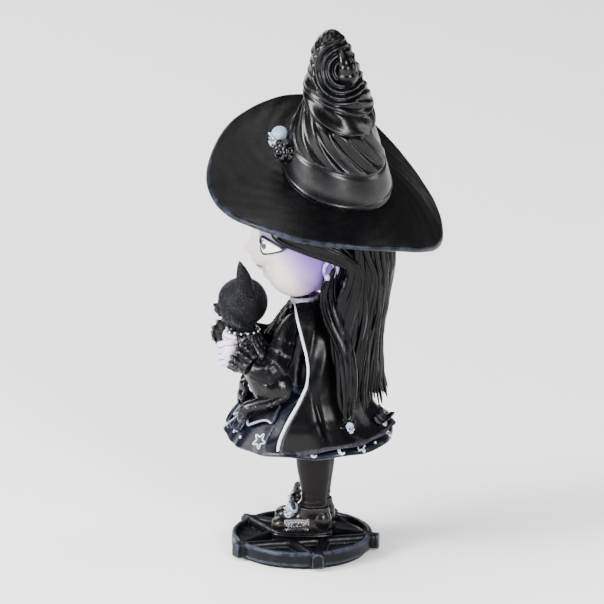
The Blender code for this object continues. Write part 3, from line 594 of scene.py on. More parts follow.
def eyeLook():
    # painted eye: u and v run from -1 to 1 across and up the almond
    mat = bpy.data.materials.new("paintedEye")
    mat.use_nodes = True
    tree = mat.node_tree
    shader = tree.nodes["Principled BSDF"]
    u, v = attributeOf(tree, "eyeU"), attributeOf(tree, "eyeV")
    wide = mathNode(tree, "POWER", mathNode(tree, "MULTIPLY", u, 1.35), 2.0)
    tall = mathNode(tree, "POWER", mathNode(tree, "SUBTRACT", v, 0.1), 2.0)
    far = mathNode(tree, "POWER", mathNode(tree, "ADD", wide, tall), 0.5)
    streak = noiseOf(tree, 900.0, 3.0)
    iris = mixColour(tree, streak, (0.015, 0.01, 0.035), (0.1, 0.06, 0.2))
    colour = mixColour(tree, mapRange(tree, far, 0.60, 0.55), (0.82, 0.8, 0.84), iris)
    colour = mixColour(tree, mapRange(tree, far, 0.44, 0.38), colour, (0.005, 0.005, 0.008))
    glint = mathNode(tree, "ADD", mathNode(tree, "POWER", mathNode(tree, "SUBTRACT", u, 0.16), 2.0),
                     mathNode(tree, "POWER", mathNode(tree, "SUBTRACT", v, 0.42), 2.0))
    colour = mixColour(tree, mapRange(tree, glint, 0.02, 0.012), colour, (0.95, 0.95, 1.0))
    shadow = mapRange(tree, v, 0.35, 1.0, 1.0, 0.45)
    colour = mixColour(tree, 1.0, colour, shadow, "MULTIPLY")
    tree.links.new(colour, shader.inputs["Base Color"])
    shader.inputs["Roughness"].default_value = 0.34
    shader.inputs["Specular IOR Level"].default_value = 0.15
    return mat


looks["faceSkin"] = skinLook()
looks["paintedEye"] = eyeLook()


# floor, lights and camera
stageLook = {"viewAzimuth": 96.0, "viewElevation": 18.0, "distance": 5.0, "lens": 810.0,
             "aimHeight": 0.0957, "world": 0.12, "sky": 3.3}


def areaLight(name, place, target, size, watts, colour=(1, 1, 1)):
    data = bpy.data.lights.new(name, "AREA")
    data.shape = "RECTANGLE"
    data.size, data.size_y = size
    data.energy = watts
    data.color = colour
    light = bpy.data.objects.new(name, data)
    light.location = place
    light.rotation_euler = (Vector(target) - Vector(place)).to_track_quat("-Z", "Y").to_euler()
    scene.collection.objects.link(light)


def buildStage():
    mesh = bpy.data.meshes.new("floor")
    mesh.from_pydata([(-3, -3, 0), (3, -3, 0), (3, 3, 0), (-3, 3, 0)], [], [(0, 1, 2, 3)])
    floor = bpy.data.objects.new("floor", mesh)
    scene.collection.objects.link(floor)
    paper = bpy.data.materials.new("paper")
    paper.use_nodes = True
    shader = paper.node_tree.nodes["Principled BSDF"]
    shader.inputs["Base Color"].default_value = (0.92, 0.92, 0.92, 1)
    shader.inputs["Roughness"].default_value = 0.85
    mesh.materials.append(paper)
    world = bpy.data.worlds.new("studio")
    world.use_nodes = True
    world.node_tree.nodes["Background"].inputs["Color"].default_value = (1, 1, 1, 1)
    world.node_tree.nodes["Background"].inputs["Strength"].default_value = stageLook["world"]
    scene.world = world
    target = (0, 0.002, 0.1)
    sky = bpy.data.lights.new("skySoft", "SUN")
    sky.energy = stageLook["sky"]
    sky.angle = math.radians(50)
    lamp = bpy.data.objects.new("skySoft", sky)
    lamp.rotation_euler = (math.radians(18), math.radians(16), 0)
    scene.collection.objects.link(lamp)
    areaLight("keySoftbox", (0.46, -0.78, 0.44), target, (0.3, 0.42), 26.0)
    areaLight("sideSoftbox", (0.80, 0.42, 0.42), target, (0.2, 0.42), 15.0)
    areaLight("topSoftbox", (-0.66, -0.02, 1.0), target, (0.3, 0.9), 3.0)
    areaLight("backStrip", (-0.2, 0.85, 0.40), target, (0.2, 0.6), 4.0)
    areaLight("farFill", (-0.7, -0.5, 0.5), target, (0.4, 0.5), 4.0)
    a, e = math.radians(stageLook["viewAzimuth"]), math.radians(stageLook["viewElevation"])
    back = Vector((math.sin(a) * math.cos(e), -math.cos(a) * math.cos(e), math.sin(e)))
    aim = Vector((0, 0, stageLook["aimHeight"]))
    data = bpy.data.cameras.new("camera")
    data.lens = stageLook["lens"]
    camera = bpy.data.objects.new("camera", data)
    camera.location = aim + back * stageLook["distance"]
    camera.rotation_euler = (-back).to_track_quat("-Z", "Y").to_euler()
    scene.collection.objects.link(camera)
    scene.camera = camera


buildStage()
print("stage set")


# hat
brim = {"centre": (0.0, 12.2, 145.7), "normal": (0.32, 0.28, 0.908), "radius": 45.4, "thickness": 1.8,
        "flat": 14.0, "droop": 5.7, "around": 260}
brimNormal = unit(vec(*brim["normal"]))
brimU = unit(np.cross(brimNormal, vec(0, 1, 0)))
brimV = np.cross(brimNormal, brimU)


def brimBend(r, a):
    # flat round the cone, then drooping most at the front and the back
    share = np.clip((r - brim["flat"]) / (brim["radius"] - brim["flat"]), 0, 1) ** 1.6
    sway = 5.8 * np.cos(2 * a) + 5.1 * np.sin(2 * a) + 2.4 * (np.sin(a) - np.cos(a)) + 0.7 * np.cos(5 * a)
    return share * (sway - brim["droop"])


def brimPoint(r, a, lift):
    edge = r * (1 + 0.01 * np.cos(3 * a + 1) + 0.002 * np.cos(11 * a))
    height = lift + brimBend(r, a)
    return (vec(*brim["centre"])
            + edge[..., None] * (np.cos(a)[..., None] * brimU + np.sin(a)[..., None] * brimV)
            + height[..., None] * brimNormal)


def buildBrim():
    a = rowOf(0, 2 * math.pi, brim["around"], endpoint=False)
    full = brim["radius"]
    under = np.linspace(10, full - 1.4, 26)
    bend = np.linspace(-math.pi / 2, math.pi / 2, 14)
    roll = full - 1.25 + 1.25 * np.cos(bend)
    over = np.linspace(full - 1.4, 10, 40)
    radii = np.concatenate([under, roll, over])
    half = brim["thickness"] / 2
    # the rim is rolled a little thicker than the rest of the brim
    lifts = np.concatenate([-half - 0.25 * smoothStep(full - 5, full - 1.4, under),
                            np.sin(bend) * (half + 0.3),
                            half + 0.25 * smoothStep(full - 5, full - 1.4, over)])
    rr = radii[:, None] + 0 * a
    lift = lifts[:, None] - half + 0 * a
    dent = 0.12 * np.sin(9 * a + 0.2 * rr) * smoothStep(18, 40, rr) + 0.05 * np.sin(23 * a + rr)
    points = brimPoint(rr, a + 0 * rr, lift + dent)
    obj = meshPiece("hatBrim", gridShape(points, True, True, True))
    markRidges(obj, 6)
    edge = smoothStep(full - 3.6, full + 0.2, np.concatenate([rr.ravel(), [0, 0]]))
    ridge = np.zeros(len(obj.data.vertices))
    ridge[:len(edge)] = edge
    storeValue(obj, "ridge", np.clip(ridge * 0.72, 0, 1.3))
    return show(obj, "bobble_head", "black_resin", looks["hatFelt"], "hat_brim")


# centre x, y, z, radius and share of the brim's tilt, from the brim to the folded tip
coneLine = [(0.8, 13.4, 144.4, 20.3, 1.0), (1.8, 13.2, 149.5, 19.6, 0.85), (2.6, 12.6, 156.0, 17.8, 0.6),
            (3.8, 12.2, 163.0, 15.7, 0.4), (4.8, 12.8, 168.5, 13.9, 0.3), (5.3, 13.3, 173.0, 12.4, 0.27),
            (6.0, 13.6, 178.5, 11.3, 0.18), (6.8, 13.4, 184.0, 10.1, 0.12), (7.4, 12.8, 189.5, 8.7, 0.08),
            (7.9, 12.1, 194.5, 7.5, 0.04), (8.2, 11.8, 199.0, 5.6, 0.0), (8.4, 11.8, 202.3, 2.9, 0.0),
            (8.4, 11.9, 203.4, 0.6, 0.0)]
cone = {"around": 300, "along": 290, "foldDepth": 1.25, "lapDepth": 1.7, "curlY": 17.2, "curlZ": 190.2}


def lapEdges(a):
    # heights of the three lower edges where the cloth laps over itself
    return (157.4 - 7.6 * np.cos(a - 0.87) + 0.5 * np.cos(3 * a),
            174.6 - 8.8 * np.cos(a - 0.70) + 0.5 * np.cos(2 * a + 1),
            177.6 - 5.0 * np.cos(a - 1.13) + 0.4 * np.cos(3 * a + 0.5))


def coneSurface(t, a, extra=0.0):
    line = curveThrough(coneLine, 600)
    s = np.clip(t, 0, 1) * 599
    x, y, z, r, tilt = [np.interp(s, np.arange(600), line[:, k]) for k in range(5)]
    normal = unit((1 - tilt)[..., None] * vec(0, 0, 1) + tilt[..., None] * brimNormal)
    u = unit(np.cross(vec(0, 1, 0), normal))
    v = np.cross(normal, u)
    cosA, sinA = np.cos(a), np.sin(a)
    out = cosA[..., None] * u + sinA[..., None] * v
    place = (np.stack([x, y, z], -1) + r[..., None] * out)[..., 2]
    lowEdge, midEdge, topEdge = lapEdges(a)
    push = np.zeros_like(place)
    for edge, depth, fade in ((lowEdge, 0.35, 5.0), (midEdge, 1.0, 5.5), (topEdge, 0.62, 4.0)):
        gap = place - edge
        push = push + cone["lapDepth"] * depth * (np.where(gap > 0, np.exp(-gap / fade), 0)
                                                  * smoothStep(-0.15, 0.5, gap)
                                                  - 0.35 * np.exp(-((gap + 0.5) / 0.7) ** 2))
    # long folds wind down from the upper lap and die out in the band
    drape = smoothStep(-0.5, 3.0, place - lowEdge) * smoothStep(0.5, -4.0, place - midEdge)
    phase = (15 * a + 0.75 * place + 0.9 * np.sin(2 * a)) / (2 * math.pi)
    depth = 0.75 + 0.35 * np.sin(3 * a + 0.6)
    push = push + cone["foldDepth"] * depth * drape * (saw(phase, 0.3) - 0.45)
    hang = smoothStep(0.0, 2.5, place - midEdge) * smoothStep(1.0, -2.0, place - topEdge)
    push = push + 0.35 * hang * np.cos(7 * a + 0.5 * place)
    # tight wrinkles gather round the curled tip
    upper = smoothStep(0.0, 3.0, place - topEdge)
    fine = (saw((4 * a + 1.7 * place + 1.2 * np.sin(a)) / (2 * math.pi), 0.3) - 0.5) * 0.75
    fine = fine + 0.35 * (saw((9 * a + 0.8 * place) / (2 * math.pi), 0.4) - 0.5)
    sideways = y + r * sinA
    away = np.hypot((sideways - cone["curlY"]) * 0.95, (place - cone["curlZ"]) * 0.9)
    facing = smoothStep(0.0, 0.35, cosA) * smoothStep(12.5, 10.0, away)
    rings = 1.15 * (saw(away / 2.05 + 0.1 * np.sin(3 * a), 0.35) - 0.5)
    push = push + upper * ((1 - facing) * fine + facing * rings) * np.clip(r / 7, 0.15, 1)
    hood = bump(away, 9.6, 1.1) * smoothStep(-2, 3, place - cone["curlZ"]) * smoothStep(-0.1, 0.3, cosA)
    push = push + 0.7 * hood * np.clip(r / 7, 0.2, 1)
    rr = r + push * smoothStep(0.02, 0.1, t) + extra
    return np.stack([x, y, z], -1) + rr[..., None] * out


def buildCone():
    a = rowOf(0, 2 * math.pi, cone["around"], endpoint=False)
    t = columnOf(0, 1, cone["along"])
    body = gridShape(coneSurface(t + 0 * a, a + 0 * t), True, True, True)
    # the very tip folds over to the left and curls up in a small horn
    horn = curveThrough([(11.0, 16.4, 184.6, 3.2), (14.0, 18.0, 187.0, 3.9), (15.2, 18.2, 190.2, 3.7),
                         (15.4, 17.4, 193.4, 2.7), (14.9, 16.3, 196.0, 1.6), (14.0, 15.4, 198.0, 0.5)], 150)
    hornShape = tubeShape(horn[:, :3], roundEnds(horn[:, 3], 0.05), 72,
                          section=lambda q, s: 1 + 0.09 * (saw(s * 5.5 + 0.12 * np.cos(q), 0.3) - 0.5)
                          * smoothStep(0.75, 0.5, s) + 0.03 * np.cos(3 * q + 9 * s))
    obj = meshPiece("hatCone", [body, hornShape])
    markRidges(obj, 5)
    return show(obj, "bobble_head", "black_resin", looks["hatCloth"], "hat_cone")


band = {"lift": 0.32, "low": 0.03}


def buildBand():
    a = rowOf(0, 2 * math.pi, 260, endpoint=False)
    s = columnOf(0, 1, 50)
    # the band's upper edge tucks under the lowest fold
    levels = columnOf(0, 0.4, 160)
    heights = coneSurface(levels + 0 * a, a + 0 * levels)[..., 2]
    edge = lapEdges(a)[0][0] + 0.15
    high = np.array([np.interp(edge[k], heights[:, k], levels[:, 0]) for k in range(a.shape[1])])[None, :]
    t = band["low"] + (high - band["low"]) * s
    puff = band["lift"] * (1 - smoothStep(0.86, 1.0, s)) + 0.3 * bump(s, 0.03, 0.03) \
        + 0.18 * np.sin(2 * a + 3 * s) * np.sin(math.pi * s)
    outer = coneSurface(t, a + 0 * s, puff)
    inner = coneSurface(t, a + 0 * s, -0.5 + 0 * puff)
    obj = meshPiece("hatBand", slabShape(outer, inner, True))
    markRidges(obj, 4)
    return show(obj, "bobble_head", "satin_resin", looks["hatSatin"], "hat_band")


def skullShapes(around=30):
    # a small generic skull facing +X of its own frame, about 2 units tall
    cranium = ballShape((-0.06, 0, 0.3), (0.78, 0.72, 0.78), around, 20,
                        lambda p: p * (1 + 0.05 * np.clip(-p[..., :1], 0, 1)))
    cheeks = [ballShape((0.42, s * 0.42, -0.22), (0.34, 0.26, 0.26), 16, 10) for s in (-1, 1)]
    jaw = ballShape((0.38, 0, -0.62), (0.42, 0.42, 0.36), 20, 12)
    brow = [ballShape((0.74, s * 0.32, 0.22), (0.2, 0.28, 0.12), 14, 8) for s in (-1, 1)]
    teeth = [ballShape((0.74, y, -0.55), (0.1, 0.075, 0.15), 10, 8) for y in np.linspace(-0.27, 0.27, 5)]
    return [cranium, *cheeks, jaw, *brow, *teeth]


def skullHollows(around=16):
    sockets = [ballShape((0.86, s * 0.33, 0.02), (0.26, 0.22, 0.2), around, 10) for s in (-1, 1)]
    nose = ballShape((0.9, 0, -0.25), (0.2, 0.1, 0.14), 10, 8)
    return [*sockets, nose]


def makeSkull(name, centre, forward, up, size, voxel=0.16):
    forward = unit(vec(*forward))
    up = unit(vec(*up) - forward * np.dot(vec(*up), forward))
    left = np.cross(up, forward)
    put = lambda shapes: [placed(s, centre, forward, left, up, size) for s in shapes]
    obj = fused(meshPiece(name, put(skullShapes())), voxel, 7)
    tool = meshPiece("hollow", put(skullHollows()))
    cut = obj.modifiers.new("sockets", "BOOLEAN")
    cut.operation = "DIFFERENCE"
    cut.solver = "MANIFOLD"
    cut.object = tool
    settled(obj)
    bpy.data.objects.remove(tool, do_unlink=True)
    local = (pointsOf(obj) - centre) @ np.stack([forward, left, up], 1) / size
    markRidges(obj, 4)
    inSocket = np.zeros(len(local))
    for c, r in (((0.86, 0.33, 0.02), 0.27), ((0.86, -0.33, 0.02), 0.27), ((0.9, 0, -0.25), 0.17)):
        inSocket = np.maximum(inSocket, smoothStep(1.15, 0.85, np.linalg.norm(local - vec(*c), axis=1) / r))
    toothLine = (bump(local[:, 2], -0.55, 0.2) * (local[:, 0] > 0.4)
                 * (np.abs(np.sin(local[:, 1] * 23)) > 0.9))
    storeValue(obj, "socket", np.clip(inSocket + 0.8 * toothLine, 0, 1))
    return obj


def skullLook():
    def sockets(tree, colour, height):
        dark = attributeOf(tree, "socket")
        return mixColour(tree, dark, colour, (0.008, 0.009, 0.012)), height
    return resinLook("skullPaint", (0.2, 0.25, 0.33), (0.55, 0.64, 0.76), 0.9, 0.12, (0.34, 0.5), 0.08,
                     extra=sockets)


looks["skullPaint"] = skullLook()


def petalRosette(name, centre, axis, size, petals, seed):
    # ruffled loops of ribbon round a middle, opening along the axis
    axis = unit(vec(*axis))
    u = unit(np.cross(axis, vec(0.2, 0.1, 1)))
    v = np.cross(axis, u)
    shapes = []
    for layer in range(2):
        for k in range(petals):
            a = 2 * math.pi * (k + 0.5 * layer) / petals + 0.3 * wobble(k, seed)
            out = math.cos(a) * u + math.sin(a) * v
            reach = size * (1.0 - 0.28 * layer)
            path = np.array([centre + axis * (0.12 + 0.2 * layer) * size + out * 0.15 * size,
                             centre + axis * (0.5 + 0.25 * layer) * size + out * 0.6 * reach,
                             centre + axis * (0.28 + 0.35 * layer) * size + out * 1.0 * reach,
                             centre + axis * (0.02 + 0.3 * layer) * size + out * 0.7 * reach])
            fine = curveThrough(path, 24)
            shapes.append(tubeShape(fine, roundEnds(np.full(24, 0.3 * size), 0.3), 16, 0.42,
                                    side=np.cross(axis, out)))
    shapes.append(ballShape(centre + axis * 0.2 * size, (0.5 * size,) * 3, 20, 12))
    return fused(meshPiece(name, shapes), size * 0.045, 2)


def buildHatTrim():
    skull = makeSkull("hatSkull", vec(4.6, -8.2, 160.4), (0.5, -0.86, 0.02), (0.25, 0.12, 1), 4.0)
    show(skull, "bobble_head", "silver_paint", looks["skullPaint"], "hat_skull")
    rosette = petalRosette("hatRosette", vec(9.4, -5.0, 156.6), (0.8, -0.58, 0.12), 4.4, 8, 5)
    markRidges(rosette, 4)
    show(rosette, "bobble_head", "satin_resin", looks["blackGloss"], "hat_rosette")
    bead = meshPiece("hatBead", [ballShape((11.6, -7.0, 157.0), (1.9, 1.9, 1.9), 40, 26)])
    storeValue(bead, "ridge", np.zeros(len(bead.data.vertices)))
    show(bead, "bobble_head", "black_resin", looks["blackGloss"], "hat_bead")


buildBrim()
buildCone()
buildBand()
buildHatTrim()
print("hat built")


# head
head = {"middle": 126.0, "half": 24.0, "width": 22.3, "depth": 21.8, "front": 4.0,
        "cheekX": 8.6, "cheekY": -5.4, "cheekZ": 112.3, "cheekSize": 11.2,
        "eyeAngle": 50.0, "eyeReach": 17.5, "eyeHeight": 121.4}


def brimUnderside(x, y, gap):
    flat = (brimNormal[0] * x + brimNormal[1] * (y - brim["centre"][1])) / brimNormal[2]
    away = np.stack([x + 0 * y, y - brim["centre"][1] + 0 * x, -flat], -1)
    reach = np.sqrt((away ** 2).sum(-1))
    turn = np.arctan2(away @ brimV, away @ brimU)
    return brim["centre"][2] - flat - (gap - brimBend(reach, turn)) / brimNormal[2]


def cheekReach(a, z):
    # how far the full, round cheeks stand out from the head's middle line
    room = head["cheekSize"] ** 2 - (z - head["cheekZ"]) ** 2
    toward = head["cheekX"] * np.abs(np.sin(a)) - head["cheekY"] * np.cos(a)
    inside = toward ** 2 - head["cheekX"] ** 2 - head["cheekY"] ** 2 + room
    return np.where(inside > 0, toward + np.sqrt(np.maximum(inside, 0)), 0)


def headPoint(a, z, extra=0.0):
    off = np.clip(np.abs(z - head["middle"]) / head["half"], 0, 1)
    s = np.maximum(1 - off ** 2.5, 0) ** 0.4
    fuller = np.maximum(cheekReach(a, z) - 22.0 * s, 0)
    x = (head["width"] * s + extra + fuller) * np.sin(a)
    y = head["front"] - (head["depth"] * s + extra + fuller) * np.cos(a)
    front = smoothStep(0, 0.35, np.cos(a))
    nose = 4.3 * bump(z, 115.6, 1.7 + 1.3 * (z > 115.6)) * bump(x, 0, 1.9)
    nostrils = 0.7 * bump(z, 114.7, 1.0) * bump(np.abs(x), 1.6, 0.8)
    bridge = 1.2 * bump(z, 120.5, 4) * bump(x, 0, 1.7)
    muzzle = 3.3 * bump(z, 111.2, 2.9) * bump(x, 0, 6.2)
    lips = 0.55 * bump(z, 112.3, 0.8) * bump(x, 0, 3.4) + 0.6 * bump(z, 109.0, 0.9) * bump(x, 0, 3.4)
    groove = -0.35 * bump(z, 113.6, 0.9) * bump(x, 0, 0.6)
    chin = 4.4 * bump(z, 104.9, 2.6) * bump(x, 0, 5.2)
    mouth = -0.7 * bump(z, 110.5 + 0.012 * x ** 2, 0.42) * smoothStep(8.2, 6.8, np.abs(x))
    socket = -0.7 * bump(z, 121.5, 4.5) * bump(np.abs(x), 14.5, 5.0)
    y = y - front * (nose + nostrils + bridge + muzzle + lips + groove + chin + mouth + socket)
    return np.stack([x, y, z + 0 * x], -1)


def eyeEdges(u):
    # the inner side is tall and the outer corner sharp and raised
    s = (np.clip(u, -1, 1) + 1) / 2
    high = 125.0 - 2.3 * s ** 1.3 + 0.5 * np.sin(math.pi * s)
    low = 122.6 - 5.0 * (1 - s) ** 0.75
    shut = np.clip(s / 0.16, 0, 1) ** 0.5
    middle = (high + low) / 2
    return middle + (low - middle) * shut, middle + (high - middle) * shut


def eyeGrid(side, u, v, lift):
    low, high = eyeEdges(u)
    z = low + (high - low) * (v + 1) / 2
    a = side * np.radians(head["eyeAngle"] + head["eyeReach"] * u)
    return headPoint(a, z, lift)


def buildHead():
    a = rowOf(-math.pi, math.pi, 300, endpoint=False)
    phi = columnOf(0.055, math.pi - 0.055, 250)
    z = head["middle"] - head["half"] * np.cos(phi)
    aa, zz = a + 0 * z, z + 0 * a
    points = headPoint(aa, zz)
    top = brimUnderside(points[..., 0], points[..., 1], 2.3)
    points[..., 2] = np.minimum(points[..., 2], top)
    neckPath = np.stack([np.zeros(30), np.full(30, 0.7), np.linspace(99.9, 106.5, 30)], -1)
    neck = tubeShape(neckPath, np.full(30, 4.1) * (1 + 0.03 * np.linspace(0, 1, 30)), 60)
    obj = meshPiece("head", [gridShape(points, True, True, True), neck])
    co = pointsOf(obj)
    x, y, zc = co.T
    # violet deepens toward the back and up toward the brim, and is strong on the neck stub: partly the
    # skin's own violet, partly painted shade under the brim and under the chin
    violet = smoothStep(-8.5, 9.5, y + 0.5 * (zc - 114)) + 0.75 * (np.hypot(x, y - 0.7) < 4.6) * (zc < 106)
    angle = np.degrees(np.arctan2(np.abs(x), -(y - head["front"])))
    u = (angle - head["eyeAngle"]) / head["eyeReach"]
    high = eyeEdges(np.clip(u, -1, 1))[1]
    corner = bump(u, 1.15, 0.5) * bump(zc, 124.6, 2.6)
    violet = violet + 0.55 * corner
    above = (zc - high) / (4.2 - 1.4 * np.clip(u, -1, 1))
    lid = smoothStep(1.0, 0.8, above) * smoothStep(-0.3, 0.0, above) * smoothStep(1.12, 0.98, np.abs(u))
    front = y < 0
    lipLine = bump(zc, 110.5 + 0.012 * x ** 2, 0.45) * smoothStep(8.6, 7.6, np.abs(x)) * front
    lips = (0.5 * bump(zc, 110.6, np.maximum(1.5 - 0.16 * np.abs(x), 0.1))
            * smoothStep(6, 3.4, np.abs(x)) * front)
    # painted shade in the nostril openings, stored with the lips
    nostril = bump(np.abs(x), 1.0, 0.45) * bump(zc, 114.2, 0.4) * front
    storeValue(obj, "violet", np.clip(violet, 0, 1))
    storeValue(obj, "lip", np.clip(lipLine * 1.3 + lips + 0.8 * nostril, 0, 1))
    storeValue(obj, "lid", np.clip(lid * front, 0, 1))
    cheek = bump(zc, 112.5, 4.0) * bump(np.abs(x), 14.5, 4.0) * front
    storeValue(obj, "blush", np.clip(0.22 * cheek, 0, 1))
    show(obj, "bobble_head", "skin_resin", looks["faceSkin"], "head")


def buildEyes():
    for side, nodeName, name in ((1, "left_eye", "leftEye"), (-1, "right_eye", "rightEye")):
        u = rowOf(-0.995, 0.995, 80)
        v = columnOf(-1, 1, 50)
        uu, vv = u + 0 * v, v + 0 * u
        swell = 0.45 + 0.9 * (1 - uu ** 2) * (1 - vv ** 2)
        ball = slabShape(eyeGrid(side, uu, vv, swell), eyeGrid(side, uu, vv, -0.8))
        obj = meshPiece(name, ball)
        flatU, flatV = np.tile(uu.ravel(), 2), np.tile(vv.ravel(), 2)
        # the iris looks straight ahead, so it sits near the inner corner
        storeValue(obj, "eyeU", flatU * 0.95 + 0.62)
        storeValue(obj, "eyeV", flatV)
        show(obj, "bobble_head", "eye_resin", looks["paintedEye"], nodeName)
        shapes = []
        line = np.linspace(-1.0, 1.0, 70)
        for level, wide, lead in ((1.0, 0.6, 1.0), (-1.0, 0.42, 1.0)):
            path = eyeGrid(side, line * lead, np.full(70, level), 0.55)
            thick = wide * (0.7 + 0.45 * smoothStep(-0.2, -1, line) + 0.3 * smoothStep(0.2, 1, line))
            shapes.append(tubeShape(path, roundEnds(thick, 0.08), 14))
        # a winged corner and two short lashes, then a line over the painted lid
        for k, (rise, reach) in enumerate(((1.2, 5.0), (2.2, 4.0))):
            s = np.linspace(0, 1, 20)
            turn = side * np.radians(head["eyeAngle"] + head["eyeReach"] * (0.97 - 0.07 * k) + reach * s)
            path = headPoint(turn, head["eyeHeight"] + 1.2 + rise * s ** 1.4, 0.5)
            shapes.append(tubeShape(path, 0.46 * (1 - 0.9 * s), 12))
        brow = np.linspace(-0.75, 0.95, 50)
        turn = side * np.radians(head["eyeAngle"] + head["eyeReach"] * brow)
        path = headPoint(turn, 130.2 + 1.0 * np.cos(brow * 1.6 - 0.5), 0.2)
        shapes.append(tubeShape(path, roundEnds(np.full(50, 0.42), 0.3), 12))
        lashes = meshPiece(name + "Lines", shapes)
        storeValue(lashes, "ridge", np.zeros(len(lashes.data.vertices)))
        show(lashes, "bobble_head", "black_resin", looks["blackSatin"])
        # a violet curl and two drops beside the outer corner
        q = np.linspace(0, 5.2, 50)
        wind = 1 - 0.12 * q
        turn = side * np.radians(head["eyeAngle"] + head["eyeReach"] * 0.9 - 3.2 * np.cos(q) * wind)
        curl = headPoint(turn, 125.9 + 1.35 * np.sin(q) * wind, 0.35)
        shapes = [tubeShape(curl, roundEnds(np.full(50, 0.42), 0.1), 12)]
        for angle, height, size in ((16.5, 124.3, 0.6), (19.5, 123.0, 0.45)):
            spot = headPoint(np.array([side * math.radians(head["eyeAngle"] + angle)]), height, 0.1)[0]
            shapes.append(ballShape(spot, (size, size, size), 18, 12))
        curlPiece = meshPiece(name + "Curl", shapes)
        evenRidge(curlPiece, 0.3)
        show(curlPiece, "bobble_head", "lilac_resin", looks["violetPaint"])


def buildEars():
    for side, nodeName, name in ((1, "left_ear", "leftEar"), (-1, "right_ear", "rightEar")):
        centre = vec(side * 20.4, 12.4, 115.4)
        out = unit(vec(side * 0.95, 0.3, -0.05))
        up = vec(0, 0.25, 1)
        up = unit(up - out * np.dot(up, out))
        along = np.cross(out, up)

        def local(p, q, r):
            return centre + out * p + along * q * side + up * r
        body = placed(ballShape((0, 0, 0), (1.5, 2.7, 3.9), 50, 36), centre, out, along, up)
        q = np.linspace(-0.5, 4.6, 60)
        rim = np.stack([local(1.35, 2.4 * math.cos(b), 0.2 + 3.5 * math.sin(b)) for b in q])
        inner = np.linspace(0.4, 3.6, 30)
        fold = np.stack([local(1.2, 1.0 * math.cos(b) + 0.2, 0.6 + 1.7 * math.sin(b)) for b in inner])
        shapes = [body, tubeShape(rim, roundEnds(0.62 + 0.2 * np.sin(np.linspace(0, 3.1, 60)), 0.1), 14),
                  tubeShape(fold, roundEnds(np.full(30, 0.42), 0.25), 12),
                  ballShape(local(1.0, 0.3, -3.0), (1.2, 1.2, 1.5), 20, 14)]
        finished(fused(meshPiece(name, shapes), 0.2, 2), 4, "bobble_head", "lilac_resin",
                 looks["earViolet"], nodeName)


# hair
hairOuter = [(152, 36.0), (130, 35.6), (112, 34.6), (100, 32.4), (88, 30.8), (77, 30.2), (66, 31.2),
             (57, 33.0)]
hair = {"backLocks": 44, "topLocks": 34, "grooves": 6, "seed": 11, "length": 60.0}


def hairSheet(b, z, inward):
    # b is the angle from the back, positive toward the left side
    back = tableAt(hairOuter, z)
    wide = 26.2 + 0.5 * smoothStep(72, 66, z)
    return np.stack([(wide - inward) * np.sin(b), 7 + (back - 7 - inward) * np.cos(b), z + 0 * b], -1)


def hairPoint(b, z, inward):
    onHead = headPoint(math.pi - b, np.clip(z, 103, 148.5), 2.9 - inward * 0.8)
    onHead[..., 2] = z
    w = smoothStep(math.radians(60), math.radians(96), np.abs(b))[..., None]
    p = (1 - w) * hairSheet(b, z, inward) + w * onHead
    p[..., 2] = np.minimum(p[..., 2], brimUnderside(p[..., 0], p[..., 1], 2.4 + 0.8 * inward))
    return p


def hairTip(b):
    s = b / math.radians(58)
    return hair["length"] + 3 * s ** 2 + 1.6 * np.cos(15 * s)


def lockShape(path, radii, flat, side, phase, around=18, share=0.05):
    # each lock is ribbed along its length
    def section(a, t):
        rib = np.cos(hair["grooves"] * a + 2.2 * math.pi * t + phase)
        return 1 + 0.2 * rib * smoothStep(0, 0.06, t) + 0.05 * np.cos(11 * a + phase + 9 * t)
    return tubeShape(path, roundEnds(radii, share), around, flat, side=side, section=section)


def hairFlow(s, t):
    # neighbouring locks bend together in one long lazy S
    return np.radians(7.5) * np.sin(2 * math.pi * (0.95 * t + 0.12) + 1.5 * s) * smoothStep(0.05, 0.35, t)


